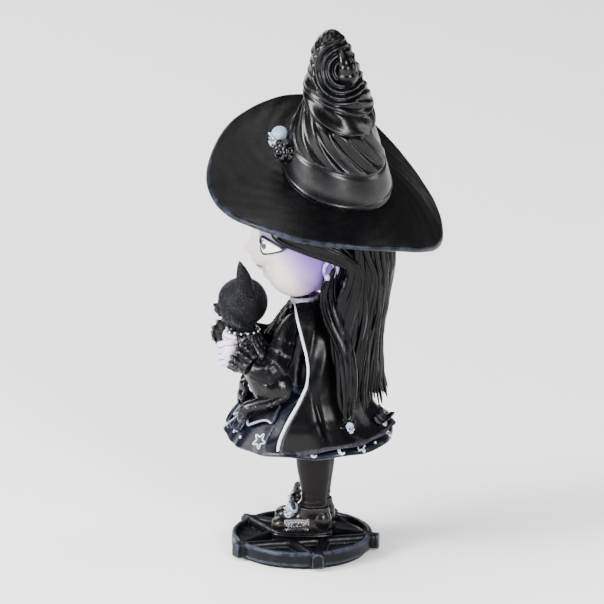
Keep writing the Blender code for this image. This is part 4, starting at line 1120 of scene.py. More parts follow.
def buildBackHair():
    rng = np.random.default_rng(hair["seed"])
    shapes = []
    # an inner sheet closes the curtain between the locks
    b = rowOf(-1, 1, 90)
    t = columnOf(0, 1, 90)
    wide = np.radians(58 + 5 * smoothStep(56, 88, 130 - 70 * t))
    z = 134 + (hairTip(b * np.radians(58)) + 4.5 - 134) * t
    shapes.append(slabShape(hairPoint(b * wide, z, 2.6 + 0 * b * t),
                            hairPoint(b * wide, z, 4.4 + 0 * b * t)))
    for k in range(hair["backLocks"]):
        s = -1 + 2 * k / (hair["backLocks"] - 1)
        topB = math.radians(64) * s * 0.98
        t = np.linspace(0, 1, 72)
        tip = hairTip(math.radians(58) * s) + rng.uniform(-0.8, 3.4)
        z = 137 + (tip - 137) * t
        b = topB * (1 - 0.09 * t) + hairFlow(s, t) + math.radians(1.2) * np.sin(t * rng.uniform(9, 14) + k)
        flick = rng.uniform(-1.1, 0.5) * smoothStep(0.85, 1, t)
        path = hairPoint(b, z, 2.1 - 0.7 * smoothStep(0.6, 1, t) + 0.4 * np.sin(9 * t + k) + flick)
        radii = rng.uniform(1.05, 1.5) * (1 - 0.72 * smoothStep(0.78, 1, t))
        side = (math.cos(topB), -math.sin(topB), 0)
        shapes.append(lockShape(path, radii, 0.9, side, k, 14))
    # a looser layer on top with broader waves
    for k in range(hair["topLocks"]):
        s = -0.97 + 1.94 * k / (hair["topLocks"] - 1) + rng.uniform(-0.03, 0.03)
        start = rng.uniform(0.0, 0.12)
        end = rng.uniform(0.66, 1.0)
        t = np.linspace(0, 1, 72)
        low = 137 + (hairTip(math.radians(58) * s) - 137) * end
        z = 139 - 6 * start + (low - 139 + 6 * start) * t
        wave = math.radians(rng.uniform(2.2, 4.6)) * np.sin(t * rng.uniform(7, 11) + rng.uniform(0, 6.3))
        b = math.radians(62) * s * (1 - 0.1 * t) + hairFlow(s, t * end) + wave * smoothStep(0, 0.25, t)
        path = hairPoint(b, z, 1.3 + 0.5 * np.sin(8 * t + 2 * k) + 1.5 * smoothStep(0.1, 0, t))
        radii = rng.uniform(0.8, 1.35) * (1 - 0.8 * smoothStep(0.6, 1, t))
        side = (math.cos(b[30]), -math.sin(b[30]), 0)
        shapes.append(lockShape(path, radii, 0.85, side, 2 * k, 14))
    finished(meshPiece("hairBack", shapes), 4, "bobble_head", "hair_resin", looks["hairBlack"], "hair_back")


def sweptLock(side, k, count):
    # from the temple, back along the hairline, round behind the ear and down
    s = k / (count - 1)
    t = np.linspace(0, 1, 84)
    back = smoothStep(0, 0.5, t)
    b = np.radians(122 - 6 * s - (64 - 16 * s) * back) + hairFlow(0.9, t) - np.radians(6) * t ** 2
    z = (129.5 + 11 * s) - (13.5 + 4 * s) * np.minimum(t / 0.5, 1) ** 1.15
    z = z - (52 - 9 * s) * (np.maximum(t - 0.2, 0) / 0.8) ** 1.8
    path = hairPoint(side * b, z, 0.3 + 0.5 * np.sin(3 * t + k) + 1.2 * smoothStep(0.12, 0, t) + 1.2 * back)
    radii = (1.25 + 0.35 * np.sin(math.pi * t)) * (1 - 0.8 * smoothStep(0.8, 1, t))
    return lockShape(path, radii, 1.2, (side * 0.93, 0.36, 0), 3 * k, 14)


def buildHairCap():
    b = np.radians(np.linspace(-124, 124, 150))[None, :]
    t = columnOf(0, 1, 26)
    # the hairline is high at the temples and dips behind the ears
    low = 108.0 + 20.0 * smoothStep(50, 66, np.degrees(np.abs(b)))
    z = low + (148 - low) * t
    ribs = 0.35 * np.cos(34 * b + 5 * t)
    outer = hairPoint(b + 0 * t, z, 1.2 + ribs)
    inner = hairPoint(b + 0 * t, z - 0.2, 3.4 + 0 * z)
    shapes = [slabShape(outer, inner)]
    for side in (1, -1):
        shapes += [sweptLock(side, k, 9) for k in range(9)]
    finished(meshPiece("hairCap", shapes), 4, "bobble_head", "hair_resin", looks["hairBlack"], "hair_cap")
    # the fringe parts in the middle and sweeps to both temples
    shapes = []
    for side in (1, -1):
        for k in range(9):
            s = k / 8
            t = np.linspace(0, 1, 50)
            a = side * np.radians(2 + 4 * s + (57 - 8 * s) * t)
            z = 143.5 - 2.5 * s - (11.5 - 6.5 * s) * t ** 1.5
            path = headPoint(a, z, 1.3 + 0.3 * np.sin(4 * t + k))
            path[..., 2] = np.minimum(path[..., 2], brimUnderside(path[..., 0], path[..., 1], 3.4))
            radii = (1.15 + 0.3 * np.sin(math.pi * t)) * (1 - 0.5 * smoothStep(0.8, 1, t))
            shapes.append(lockShape(path, radii, 0.8, (0, 0, 1), k, 16))
    finished(meshPiece("hairFringe", shapes), 4, "bobble_head", "hair_resin", looks["hairBlack"],
             "hair_fringe")


sideLine = [(19.0, 15.0, 118, 2.4), (19.4, 12.4, 110, 3.2), (19.8, 12.3, 103, 3.5), (21.0, 14.4, 96, 3.6),
            (22.2, 17.4, 88, 3.6), (23.0, 18.8, 80, 3.5), (23.8, 19.2, 70, 3.2), (24.8, 19.2, 63, 2.4),
            (25.6, 19.2, 59, 1.2), (26.0, 19.2, 57, 0.6)]


def buildSideLocks():
    rng = np.random.default_rng(hair["seed"] + 1)
    for side, nodeName, name in ((1, "left_hair_lock", "leftLock"), (-1, "right_hair_lock", "rightLock")):
        line = curveThrough(sideLine, 100)
        t = np.linspace(0, 1, 100)
        shapes = []
        for k in range(11):
            turn = 2 * math.pi * k / 10 + 1.1 * t
            ring = line[:, 3] * 0.66 * (1 if k < 10 else 0.1)
            offset = np.stack([np.cos(turn + 0.6) * ring, np.sin(turn + 0.6) * ring, 0 * ring], -1)
            wave = 0.7 * np.sin(t * rng.uniform(8, 13) + rng.uniform(0, 6.3))[:, None] * vec(0.4, 1, 0)
            stop = int(100 * rng.uniform(0.84, 1.0))
            path = (line[:, :3] + offset + wave)[:stop] * vec(side, 1, 1)
            radii = (line[:, 3] * (rng.uniform(0.34, 0.44) + 0.2 * (k == 10)))[:stop]
            radii = radii * (1 - 0.6 * smoothStep(0.85, 1, np.linspace(0, 1, stop)))
            shapes.append(lockShape(path, radii, 0.85, (side, 0, 0), k, 16))
        finished(meshPiece(name, shapes), 4, "bobble_head", "hair_resin", looks["hairBlack"], nodeName)


buildHead()
buildEyes()
buildEars()
buildBackHair()
buildHairCap()
buildSideLocks()
print("head and hair built")


# clothes
def aroundBody(a, r, z):
    # a is measured from the front, positive toward the left side
    return np.stack([r * np.sin(a), 3.3 - r * np.cos(a), z + 0 * a * r], -1)


def ringBody(table, around, along, dent=None):
    # table rows are z, middle y, half width, half depth and optionally middle x
    rows = [tuple(row) + (0.0,) * (5 - len(row)) for row in table]
    line = curveThrough(rows, along)
    a = rowOf(0, 2 * math.pi, around, endpoint=False)
    z, cy, rx, ry, cx = [line[:, k][:, None] for k in range(5)]
    push = dent(a, z) if dent else 0.0
    points = np.stack([cx + (rx + push) * np.sin(a), cy - (ry + push) * np.cos(a), z + 0 * a], -1)
    return gridShape(points, True, True, True)


def bodyTube(rows, along, around, section=None, share=0.06, flat=1.0, side=None):
    line = curveThrough(rows, along)
    return tubeShape(line[:, :3], roundEnds(line[:, 3], share), around, flat, side=side, section=section)


cape = {"folds": 7, "foldDepth": 0.9, "thickness": 1.4, "around": 250, "along": 140}
capeProfile = [(97.4, 5.7), (96.4, 7.0), (95.2, 8.6), (93.5, 10.8), (91, 13.4), (87, 15.6), (80, 17.6),
               (70, 19.6), (62, 21.3), (57, 22.8), (52, 25.8), (48.5, 28.8), (46, 30.9)]
capeEdge = [(97.6, -2.0), (92.7, 0.2), (88.6, 1.9), (80.5, 4.4), (75.3, 5.2), (69.3, 4.7), (62.9, 1.9),
            (55.6, -2.2), (50.3, -4.6), (46.1, -5.2)]


def smoothTable(table, z):
    # a table read with its corners eased
    return sum(tableAt(table, z + d) for d in (-1.2, -0.6, 0, 0.6, 1.2)) / 5


def edgeAngle(r, z):
    return np.arccos(np.clip((3.3 - smoothTable(capeEdge, z)) / r, -1, 1))


def capePoint(u, z, inward):
    base = smoothTable(capeProfile, z)
    edge = edgeAngle(base - 0.7, z)
    a = edge + (2 * math.pi - 2 * edge) * u
    fall = np.clip((68 - z) / 22, 0, 1)
    fold = cape["foldDepth"] * fall * (np.cos(cape["folds"] * (a - math.pi)) * 0.6
                                       + 0.45 * np.cos(13 * (a - math.pi) + 1.3 * np.sin(2 * a)))
    # soft pulls run down from the shoulders
    side = np.abs(np.angle(np.exp(1j * a)))
    pulls = 0.55 * bump(side, 1.62 + 0.012 * (z - 80), 0.10) * smoothStep(62, 70, z) * smoothStep(97, 90, z)
    pulls = pulls + (0.45 * bump(side, 2.0 + 0.02 * (z - 80), 0.13)
                     * smoothStep(66, 74, z) * smoothStep(95, 88, z))
    crease = -0.5 * bump(side, 1.80 - 0.01 * (z - 60), 0.05) * smoothStep(46, 54, z) * smoothStep(72, 62, z)
    r = base + fold + pulls + crease - inward
    lift = fall ** 2 * (3.4 * smoothStep(1.4, 2.6, side) + 0.6 * np.cos(5 * (a - math.pi)))
    return aroundBody(a, r, z + lift)


def buildCape():
    u = rowOf(0, 1, cape["around"])
    z = columnOf(97.4, 46.0, cape["along"])
    outer = capePoint(u + 0 * z, z + 0 * u, 0.0)
    inner = capePoint(u + 0 * z, z + 0 * u, cape["thickness"])
    obj = meshPiece("cape", slabShape(outer, inner))
    markRidges(obj, 6)
    co = pointsOf(obj)
    ridge = np.zeros(len(co))
    obj.data.attributes["ridge"].data.foreach_get("value", ridge)
    lower = smoothStep(64, 50, co[:, 2])
    storeValue(obj, "ridge", ridge * (0.35 + 0.5 * lower) + 0.22 * lower)
    show(obj, "figure", "black_resin", looks["capeBlack"], "cape")
    for end, nodeName, name in ((0.0, "left_cape_piping", "leftPiping"),
                                (1.0, "right_cape_piping", "rightPiping")):
        z = np.linspace(97.3, 46.6, 170)
        r = smoothTable(capeProfile, z) - 0.7
        side = 1 if end == 0 else -1
        a = side * (edgeAngle(r, z) - 0.95 / r)
        path = aroundBody(a, r, z)
        wide = 0.5 + 0.14 * smoothStep(80, 55, z) + 0.03 * wobble(z * 0.3, 3)
        shape = tubeShape(path, roundEnds(wide, 0.015), 20)
        obj = meshPiece(name, shape)
        evenRidge(obj, 0.5)
        show(obj, "figure", "white_paint", looks["whitePiping"], nodeName)


def skirtRadius(a, z):
    t = np.clip((66 - z) / 21, 0, 1)
    free = 14.5 + 17 * t ** 0.8
    wave = np.maximum(0, t - 0.25) * (1.2 * np.cos(9 * a) + 0.45 * np.cos(17 * a + 0.7))
    covered = smoothTable(capeProfile, z) - 2.65
    edge = edgeAngle(smoothTable(capeProfile, z), z)
    away = np.abs(np.angle(np.exp(1j * a)))
    blend = np.clip((edge - 0.07 - away) / 0.16, 0, 1)
    hemOut = 2.2 * smoothStep(49.5, 46, z) * (1 - blend)
    return blend * (free + wave) + (1 - blend) * (covered + 0.5 * np.cos(9 * a) * t) + hemOut


def skirtPoint(a, z, extra=0.0):
    return aroundBody(a, skirtRadius(a, z) + extra, z + 0.5 * np.cos(9 * a) * np.clip((66 - z) / 21, 0, 1))


def buildSkirt():
    a = rowOf(0, 2 * math.pi, 420, endpoint=False)
    z = columnOf(66, 45.2, 90)
    outer = skirtPoint(a + 0 * z, z + 0 * a)
    bend = columnOf(0.3, math.pi - 0.3, 6)
    hem = skirtPoint(a + 0 * bend, 45.2 + 0 * a * bend, -0.8 + 0.8 * np.cos(bend))
    hem[..., 2] -= 0.55 * np.sin(bend)
    zi = columnOf(45.4, 49, 10)
    inner = skirtPoint(a + 0 * zi, zi + 0 * a, -1.7)
    finished(meshPiece("skirt", gridShape(np.vstack([outer, hem, inner]), True, True, True)), 5, "figure",
             "navy_resin", looks["navySkirt"], "skirt")


def onSkirt(angle, height, path, lift=0.25):
    # path holds sideways and upward steps on the cloth
    u, v = np.array(path, float).T
    z = height + v
    a = math.radians(angle) + u / skirtRadius(np.radians(angle) + 0 * u, z)
    return skirtPoint(a, z, lift)


def starOutline(size, turn=0.0, points=5, deep=0.36, count=90):
    q = np.linspace(0, 2 * math.pi * 1.02, count)
    r = size * (1 + deep * np.cos(points * q) + 0.1 * np.cos(2 * points * q))
    return np.stack([r * np.sin(q + turn), r * np.cos(q + turn)], -1)


def crescentOutline(size, count=70):
    q = np.linspace(0.5, 2 * math.pi - 0.5, count // 2)
    p = np.linspace(2 * math.pi - 0.9, 0.9, count // 2)
    outer = np.stack([size * np.cos(q), size * np.sin(q)], -1)
    inner = np.stack([size * 0.72 * np.cos(p) + 0.22 * size, size * 0.72 * np.sin(p)], -1)
    return np.vstack([outer, inner, outer[:1]])


def buildSkirtTrim():
    shapes = []
    for angle, height, size, turn in ((54, 49.2, 1.75, 0.3), (20, 50.2, 1.6, 0.9), (-18, 49.6, 1.7, 0.1),
                                      (-52, 49.4, 1.7, 0.6), (136, 47.6, 1.5, 0.4), (-140, 47.4, 1.5, 0.2),
                                      (176, 47.2, 1.4, 0.5)):
        path = onSkirt(angle, height, starOutline(size, turn), 0.1)
        shapes.append(tubeShape(path, np.full(len(path), 0.27), 10))
    for angle, height, size in ((98, 47.2, 1.2), (118, 46.9, 1.1), (-104, 47.2, 1.2), (-122, 47.0, 1.1)):
        path = onSkirt(angle, height, crescentOutline(size), 0.1)
        shapes.append(tubeShape(path, np.full(len(path), 0.27), 10))
    for angle, height in ((37, 48.2), (3, 48.0), (-35, 47.8), (-66, 50.6), (150, 47.0), (72, 47.2),
                          (-88, 47.2), (108, 48.0), (160, 48.4), (-156, 47.2)):
        shapes.append(ballShape(onSkirt(angle, height, [(0, 0)], 0.0)[0], (0.55, 0.55, 0.55), 16, 12))
    obj = meshPiece("skirtStars", shapes)
    evenRidge(obj, 0.6)
    show(obj, "figure", "silver_paint", looks["silverPaint"])


def overskirtPoint(a, v, extra):
    hem = 53.8 + 2.7 * np.abs(np.sin(math.pi * (np.abs(np.degrees(a)) - 43) / 28))
    z = 65.6 + (hem - 65.6) * v
    ruffle = 0.55 * v ** 2 * np.cos(21 * a + 0.5) * smoothStep(0.75, 0.3, np.abs(a))
    lift = 0.5 * v ** 3 * np.abs(np.cos(math.pi * (np.abs(np.degrees(a)) - 43) / 28))
    return aroundBody(a, skirtRadius(a, z) + 0.35 + extra + ruffle + lift, z)


def buildOverskirt():
    a = np.radians(np.linspace(-63, 63, 260))[None, :]
    v = columnOf(0, 1, 60)
    outer = overskirtPoint(a + 0 * v, v + 0 * a, 0.9 + 0.9 * v + 0 * a)
    inner = overskirtPoint(a + 0 * v, v + 0 * a, 0 * v + 0 * a - 0.3)
    finished(meshPiece("overskirt", slabShape(outer, inner)), 5, "figure", "black_resin",
             looks["blackSatin"], "overskirt")
    a = np.radians(np.linspace(-62.5, 62.5, 220))
    path = overskirtPoint(a, np.ones(220), 2.05)
    obj = meshPiece("overskirtPiping", tubeShape(path, roundEnds(np.full(220, 0.42), 0.01), 14))
    evenRidge(obj, 0.4)
    show(obj, "figure", "white_paint", looks["greyPiping"], "overskirt_piping")
    # the front edges of the folds are picked out in silver
    shapes = []
    for side in (1, -1):
        t = np.linspace(0, 1, 60)
        a = side * np.radians(19 - 9 * t + 2.2 * np.sin(5 * t))
        path = skirtPoint(a, 57.5 - 10.5 * t, 2.0 + 0.8 * np.sin(math.pi * t) - 1.6 * smoothStep(0.8, 1, t))
        shapes.append(tubeShape(path, roundEnds(np.full(60, 0.34), 0.03), 12))
    obj = meshPiece("foldPiping", shapes)
    evenRidge(obj, 0.4)
    show(obj, "figure", "white_paint", looks["greyPiping"])
    # gathered folds hang at the front, below the bow
    shapes = []
    for k in range(7):
        s = (k - 3) / 3
        t = np.linspace(0, 1, 40)
        a = math.radians(34 * s) + 0.05 * np.sin(5 * t + k)
        path = skirtPoint(a, 58.5 - (10.5 - 2.2 * abs(s)) * t, 0.9 + 0.5 * np.sin(math.pi * t))
        radii = (1.2 + 0.7 * t) * (1 - 0.3 * smoothStep(0.9, 1, t))
        ribs = lambda q, u: 1 + 0.08 * np.cos(5 * q + 8 * u)
        shapes.append(tubeShape(path, roundEnds(radii, 0.1), 20, 0.6, side=(1, 0, 0), section=ribs))
    finished(meshPiece("frontFolds", shapes), 4, "figure", "navy_resin", looks["navySkirt"])


torsoRows = [(66.35, -3.6, 12, 14.2), (70, -3.6, 11.8, 13.4), (75, -2.8, 11.2, 11.6), (80, -1.6, 10.8, 9.8),
             (85, -0.4, 11, 8.6), (89, 0.4, 10.4, 7.6), (91.5, 0.6, 8.2, 6.6), (93.4, 0.7, 6.2, 5.8)]


def buildTorso():
    pleats = lambda a, z: 0.25 * np.cos(18 * a) * smoothStep(80, 70, z) + 0.2 * np.sin(3 * a + z * 0.7)
    finished(meshPiece("torso", ringBody(torsoRows, 160, 90, pleats)), 5, "figure", "black_resin",
             looks["blackSatin"], "torso")
    a = np.radians(np.linspace(-31, 31, 90))[None, :]
    v = columnOf(0, 1, 40)

    def panel(depth, width):
        return np.stack([20 * width * np.sin(a) + 0 * v, -2 - (17.4 + 3.4 * v + depth) * np.cos(a) + 0 * v,
                         63.6 + 7.6 * v + 0.5 * np.cos(2 * a)], -1)
    rise = 0.12 * np.cos(a * 40) * np.ones_like(v)
    finished(meshPiece("bodicePanel", slabShape(panel(rise, 1.0), panel(-1.3, 1.0))), 4, "figure",
             "satin_resin", looks["greySatin"], "bodice_panel")
    shapes = []
    for k in (0, -1):
        edge = panel(0.15, 1.0)[k]
        shapes.append(tubeShape(edge, roundEnds(np.full(90, 0.4), 0.02), 14))
    for side in (-1, 1):
        for k in range(2):
            b = side * math.radians(25 - 6 * k)
            spot = vec(20 * math.sin(b), -2 - 17.9 * math.cos(b), 65.0)
            q = np.linspace(0, 6.4, 26)
            ring = spot + np.stack([0.55 * np.cos(q), -0.1 + 0 * q, 0.55 * np.sin(q)], -1)
            shapes.append(tubeShape(ring, np.full(26, 0.2), 8))
    obj = meshPiece("bodiceEdge", shapes)
    evenRidge(obj, 0.4)
    show(obj, "figure", "white_paint", looks["whitePiping"])


def frill(centre, out, wide, deep, waves, drop, seed):
    # a fan of cloth with a ruffled lower edge
    s = rowOf(-1, 1, 110)
    v = columnOf(0, 1, 26)
    x = wide * s * (0.35 + 0.65 * v ** 0.8)
    ruffle = 0.75 * v ** 1.4 * np.cos(waves * math.pi * s + seed)
    y = out * v ** 0.9 + ruffle - 0.9 * (1 - s ** 2) * v
    z = -drop * v * (1 - 0.25 * s ** 2) - 0.12 * deep * np.cos(2 * waves * math.pi * s) * v ** 3
    front = np.stack([x + 0 * y, y, z + 0 * y], -1) + vec(*centre)
    return slabShape(front, front + vec(0, deep, 0))


def buildJabot():
    shapes = []
    for k in range(6):
        t = k / 5
        centre = (-1.0, -3.6 - 7.4 * t, 97.2 - 10.2 * t)
        shapes.append(frill(centre, -1.5, 3.4 + 2.2 * math.sin(math.pi * (0.25 + 0.6 * t)), 0.7,
                            4 + k % 2, 3.6, k))
    finished(meshPiece("jabot", shapes), 3, "figure", "black_resin", looks["laceBlack"], "jabot")
    collarShape = []
    b = rowOf(0, 2 * math.pi, 140, endpoint=False)
    v = columnOf(0, 1, 24)

    def rim(outward, v):
        wide = 5.3 * (1 + 0.05 * v) + outward
        return np.stack([wide * np.cos(b), 1.1 + wide * np.sin(b), 95.9 + v * (2.4 + 0.45 * np.sin(b))], -1)
    collarShape.append(slabShape(rim(0.0, v), rim(-0.85, v), True))
    lip = rim(-0.42, np.ones((1, 1)))[0]
    collarShape.append(tubeShape(np.vstack([lip, lip[:2]]), np.full(142, 0.5), 14))
    obj = meshPiece("neckCollar", collarShape)
    evenRidge(obj, 0.4)
    show(obj, "figure", "silver_paint", looks["collarPale"], "neck_collar")


def bowLobe(root, tip, wide, thick, turn=0.0):
    path = curveThrough([root, (vec(*root) + vec(*tip)) / 2 + vec(0, -0.5, 0.4), tip], 30)
    t = np.linspace(0, 1, 30)
    radii = wide * (0.3 + 0.75 * np.sin(math.pi * np.clip(t * 0.62 + 0.12, 0, 1)))
    ribs = lambda q, u: 1 + 0.07 * np.cos(6 * q + turn) * (1 - u)
    return tubeShape(path, roundEnds(radii, 0.16), 30, thick, side=(0, 0, 1), section=ribs)


def buildBow():
    shapes = [ballShape((0, -22.0, 61.4), (1.9, 1.6, 2.1), 30, 20)]
    for side in (1, -1):
        shapes.append(bowLobe((side * 0.8, -21.4, 62.2), (side * 6.8, -18.4, 65.0), 2.8, 0.95, 1))
        shapes.append(bowLobe((side * 0.8, -21.6, 61.0), (side * 7.2, -19.0, 60.2), 2.9, 0.95, 2))
        shapes.append(bowLobe((side * 0.4, -22.0, 60.6), (side * 3.2, -23.2, 56.2), 1.5, 0.4, 3))
    finished(fused(meshPiece("frontBow", shapes), 0.2, 2), 5, "figure", "black_resin",
             looks["blackGloss"], "front_bow")


def buildHemOrnaments():
    out = unit(vec(0.80, 0.6, 0.0))
    centre = vec(19.6, 19.4, 54.2) + 0.9 * out
    skull = makeSkull("capeClasp", centre, out + vec(0, -0.3, 0.1), (0, -0.15, 1), 2.0, 0.12)
    show(skull, "figure", "silver_paint", looks["skullPaint"], "cape_ornament")
    shapes = []
    along = np.cross(vec(0, 0, 1), out)
    for k in range(7):
        q = 2 * math.pi * k / 7 + 0.4
        petal = along * math.cos(q) + vec(0, 0, math.sin(q))
        spot = centre - 1.5 * out + along * 2.3 * math.cos(q) + vec(0, 0, 3.0 * math.sin(q))
        ball = ballShape((0, 0, 0), (1.25, 0.6, 0.9), 18, 12)
        shapes.append(placed(ball, spot, petal, np.cross(out, petal), out))
    finished(meshPiece("claspRuffle", shapes), 3, "figure", "black_resin", looks["laceBlack"])
    # the cape's pale lining turns out at the back hem, under a black ruffle
    a = rowOf(-1, 1, 60)
    v = columnOf(0, 1, 40)
    spread = 7.2 * a * np.sin(math.pi * (0.18 + 0.82 * v) * 0.75)
    y = 27.4 + 5.4 * np.sin(math.pi * 0.62 * v) - 1.1 * a ** 2
    z = 55.6 - 6.6 * v + 0.5 * np.cos(6 * a) * v
    outer = np.stack([spread + 0 * y, y, z + 0 * y], -1)
    finished(meshPiece("capeLining", slabShape(outer, outer - vec(0, 1.1, 0))), 4, "figure",
             "satin_resin", looks["greySatin"])
    # a black ruffle with one pointed corner falls over it
    shapes = []
    for k in range(5):
        s = (k - 2) / 2
        wide = rowOf(-1, 1, 30)
        drop = columnOf(0, 1, 26)
        x = 2.4 + 5.4 * s + 2.3 * wide * (1 - 0.75 * drop ** 2)
        y = 30.4 - 1.5 * s ** 2 + (4.3 - 1.2 * abs(s)) * drop ** 1.2 - 0.7 * wide ** 2
        z = 55.4 - 5.0 * drop + (4.6 - 1.8 * abs(s)) * drop ** 4 + 0 * wide
        sheet = np.stack([x, y, z], -1)
        shapes.append(slabShape(sheet, sheet - vec(0, 0.8, 0.3)))
    finished(meshPiece("hemRuffle", shapes), 4, "figure", "black_resin", looks["blackSatin"])


looks["capeBlack"] = resinLook("capeBlack", (0.0022, 0.0021, 0.0026), (0.07, 0.066, 0.082), 0.4, 0.45,
                               (0.2, 0.32), 0.012)
looks["greyPiping"] = resinLook("greyPiping", (0.22, 0.26, 0.33), (0.62, 0.68, 0.76), 0.7, 0.3,
                                (0.3, 0.45), 0.06)
looks["laceBlack"] = resinLook("laceBlack", (0.0025, 0.0025, 0.003), (0.34, 0.36, 0.4), 0.4, 0.6,
                               (0.22, 0.4), 0.06)
looks["collarPale"] = resinLook("collarPale", (0.34, 0.32, 0.42), (0.74, 0.72, 0.82), 0.7, 0.2,
                                (0.3, 0.45), 0.06)

buildCape()
buildSkirt()
buildSkirtTrim()
buildOverskirt()
buildTorso()
buildJabot()
buildBow()
buildHemOrnaments()
print("clothes built")


# cat, arms and hands
cat = {"head": (9.0, -21.0, 98.0), "size": (9.2, 9.3, 9.2), "furDepth": 0.035, "seed": 4}
catEar = [(-1.0, 4.6, 0, 0.0, 0.6), (3.0, 4.5, 0, 0.0, 0.5), (7.0, 4.1, 0, 0.2, 0.4),
          (10.5, 3.2, 0, 0.4, 0.1), (13.4, 2.1, 0, 0.7, -0.2), (15.8, 1.0, 0, 0.8, -0.6),
          (17.2, 0.3, 0, 0.9, -0.8)]


def furBumps(obj, depth, seed, scale=1.0):
    # short tufts pressed into the resin
    co = pointsOf(obj)
    rng = np.random.default_rng(seed)
    height = np.zeros(len(co))
    for _ in range(14):
        direction = unit(rng.normal(size=3)) * rng.uniform(2.2, 5.2) * scale
        height += np.sin(co @ direction + rng.uniform(0, 6.3))
    setPoints(obj, co + normalsOf(obj) * (depth * height / 4)[:, None])


def buildCatHead():
    centre = vec(*cat["head"])
    rx, ry, rz = cat["size"]
    shapes = [ballShape(centre, (rx, ry, rz), 80, 60)]
    for s in (-1, 1):
        shapes.append(ballShape(centre + vec(s * 4.6, -3.6, -3.4), (4.2, 3.9, 3.6), 40, 28))
        shapes.append(ballShape(centre + vec(s * 1.6, -8.6, -2.6), (2.1, 1.9, 1.7), 24, 18))
        shapes.append(ballShape(centre + vec(s * 3.6, -7.7, 1.6), (2.0, 1.3, 1.7), 24, 18))
        for k in range(3):
            q = 0.5 + 0.5 * k
            path = curveThrough([centre + vec(s * 6.2, -2.6 + k, -3.6 - 0.8 * k),
                                 centre + vec(s * 8.6, -2.4 + k, -4.6 - 0.9 * q),
                                 centre + vec(s * 9.3, -2.0 + k, -5.6 - 1.0 * q)], 20)
            shapes.append(tubeShape(path, np.linspace(1.4, 0.4, 20), 16))
    shapes.append(ballShape(centre + vec(0, -10.3, -1.5), (1.0, 0.7, 0.7), 18, 12))
    shapes.append(ballShape(centre + vec(0, -8.0, -4.7), (1.8, 1.5, 1.3), 20, 14))
    neck = bodyTube([(9.2, -20.6, 86.9, 4.1), (9.1, -21.0, 92, 5.2)], 20, 40)
    shapes.append(neck)
    for s in (1, -1):
        rows = curveThrough(catEar, 60)
        base = 96.8 + 2.7 * s
        lean = vec(0.06 * s, 0, 1)
        path = centre + vec(s * 4.2, 0.3, base - centre[2]) + 0.93 * rows[:, :1] * lean \
            + rows[:, 3:4] * vec(s * 0.5, 0, 0) + rows[:, 4:5] * vec(0, 1, 0)
        shapes.append(tubeShape(path, rows[:, 1], 44, 0.96, side=(1, 0.1, 0)))
    obj = fused(meshPiece("catHead", shapes), 0.24, 5)
    # the inside of each ear is hollowed toward the front
    co = pointsOf(obj)
    for s in (1, -1):
        heart = centre + vec(s * 4.9, -3.1, 8.6 + 0.7 * s)
        near = (bump(co[:, 0], heart[0], 1.9) * bump(co[:, 2], heart[2], 3.6)
                * smoothStep(-20.9, -22.3, co[:, 1]))
        co[:, 1] += 1.3 * near
    setPoints(obj, co)
    furBumps(obj, cat["furDepth"], cat["seed"])
    markRidges(obj, 3)
    show(obj, "figure", "fur_resin", looks["catFur"], "cat_head", "cat_left_ear", "cat_right_ear")
    shapes = []
    for s in (-1, 1):
        shapes.append(ballShape(centre + vec(s * 3.6, -8.35, 1.7), (1.35, 0.95, 1.15), 30, 20))
    eyes = meshPiece("catEyes", shapes)
    away = pointsOf(eyes)
    side = np.where(away[:, 0] > centre[0], 1, -1)
    storeValue(eyes, "eyeU", (away[:, 0] - centre[0] - side * 3.6) / 1.1)
    storeValue(eyes, "eyeV", (away[:, 2] - centre[2] - 1.7) / 1.3)
    show(eyes, "figure", "eye_resin", looks["paintedEye"])


catRows = [(13.5, -6.5, 61.6, 4.6), (13.2, -8.2, 64, 7.2), (12.2, -11.5, 70, 7.3), (10.6, -15.2, 77, 6.3),
           (9.8, -18.6, 83.0, 5.2), (9.3, -20.2, 86.2, 4.2)]
tailRows = [(16.2, -1.2, 69.8, 1.9), (18.6, -5.0, 65.6, 2.2), (19.6, -10.0, 62.9, 2.3),
            (19.2, -14.8, 61.6, 2.3),
            (18.2, -18.4, 60.0, 2.3), (17.8, -20.0, 56.6, 2.2), (17.8, -20.2, 53.8, 1.6)]


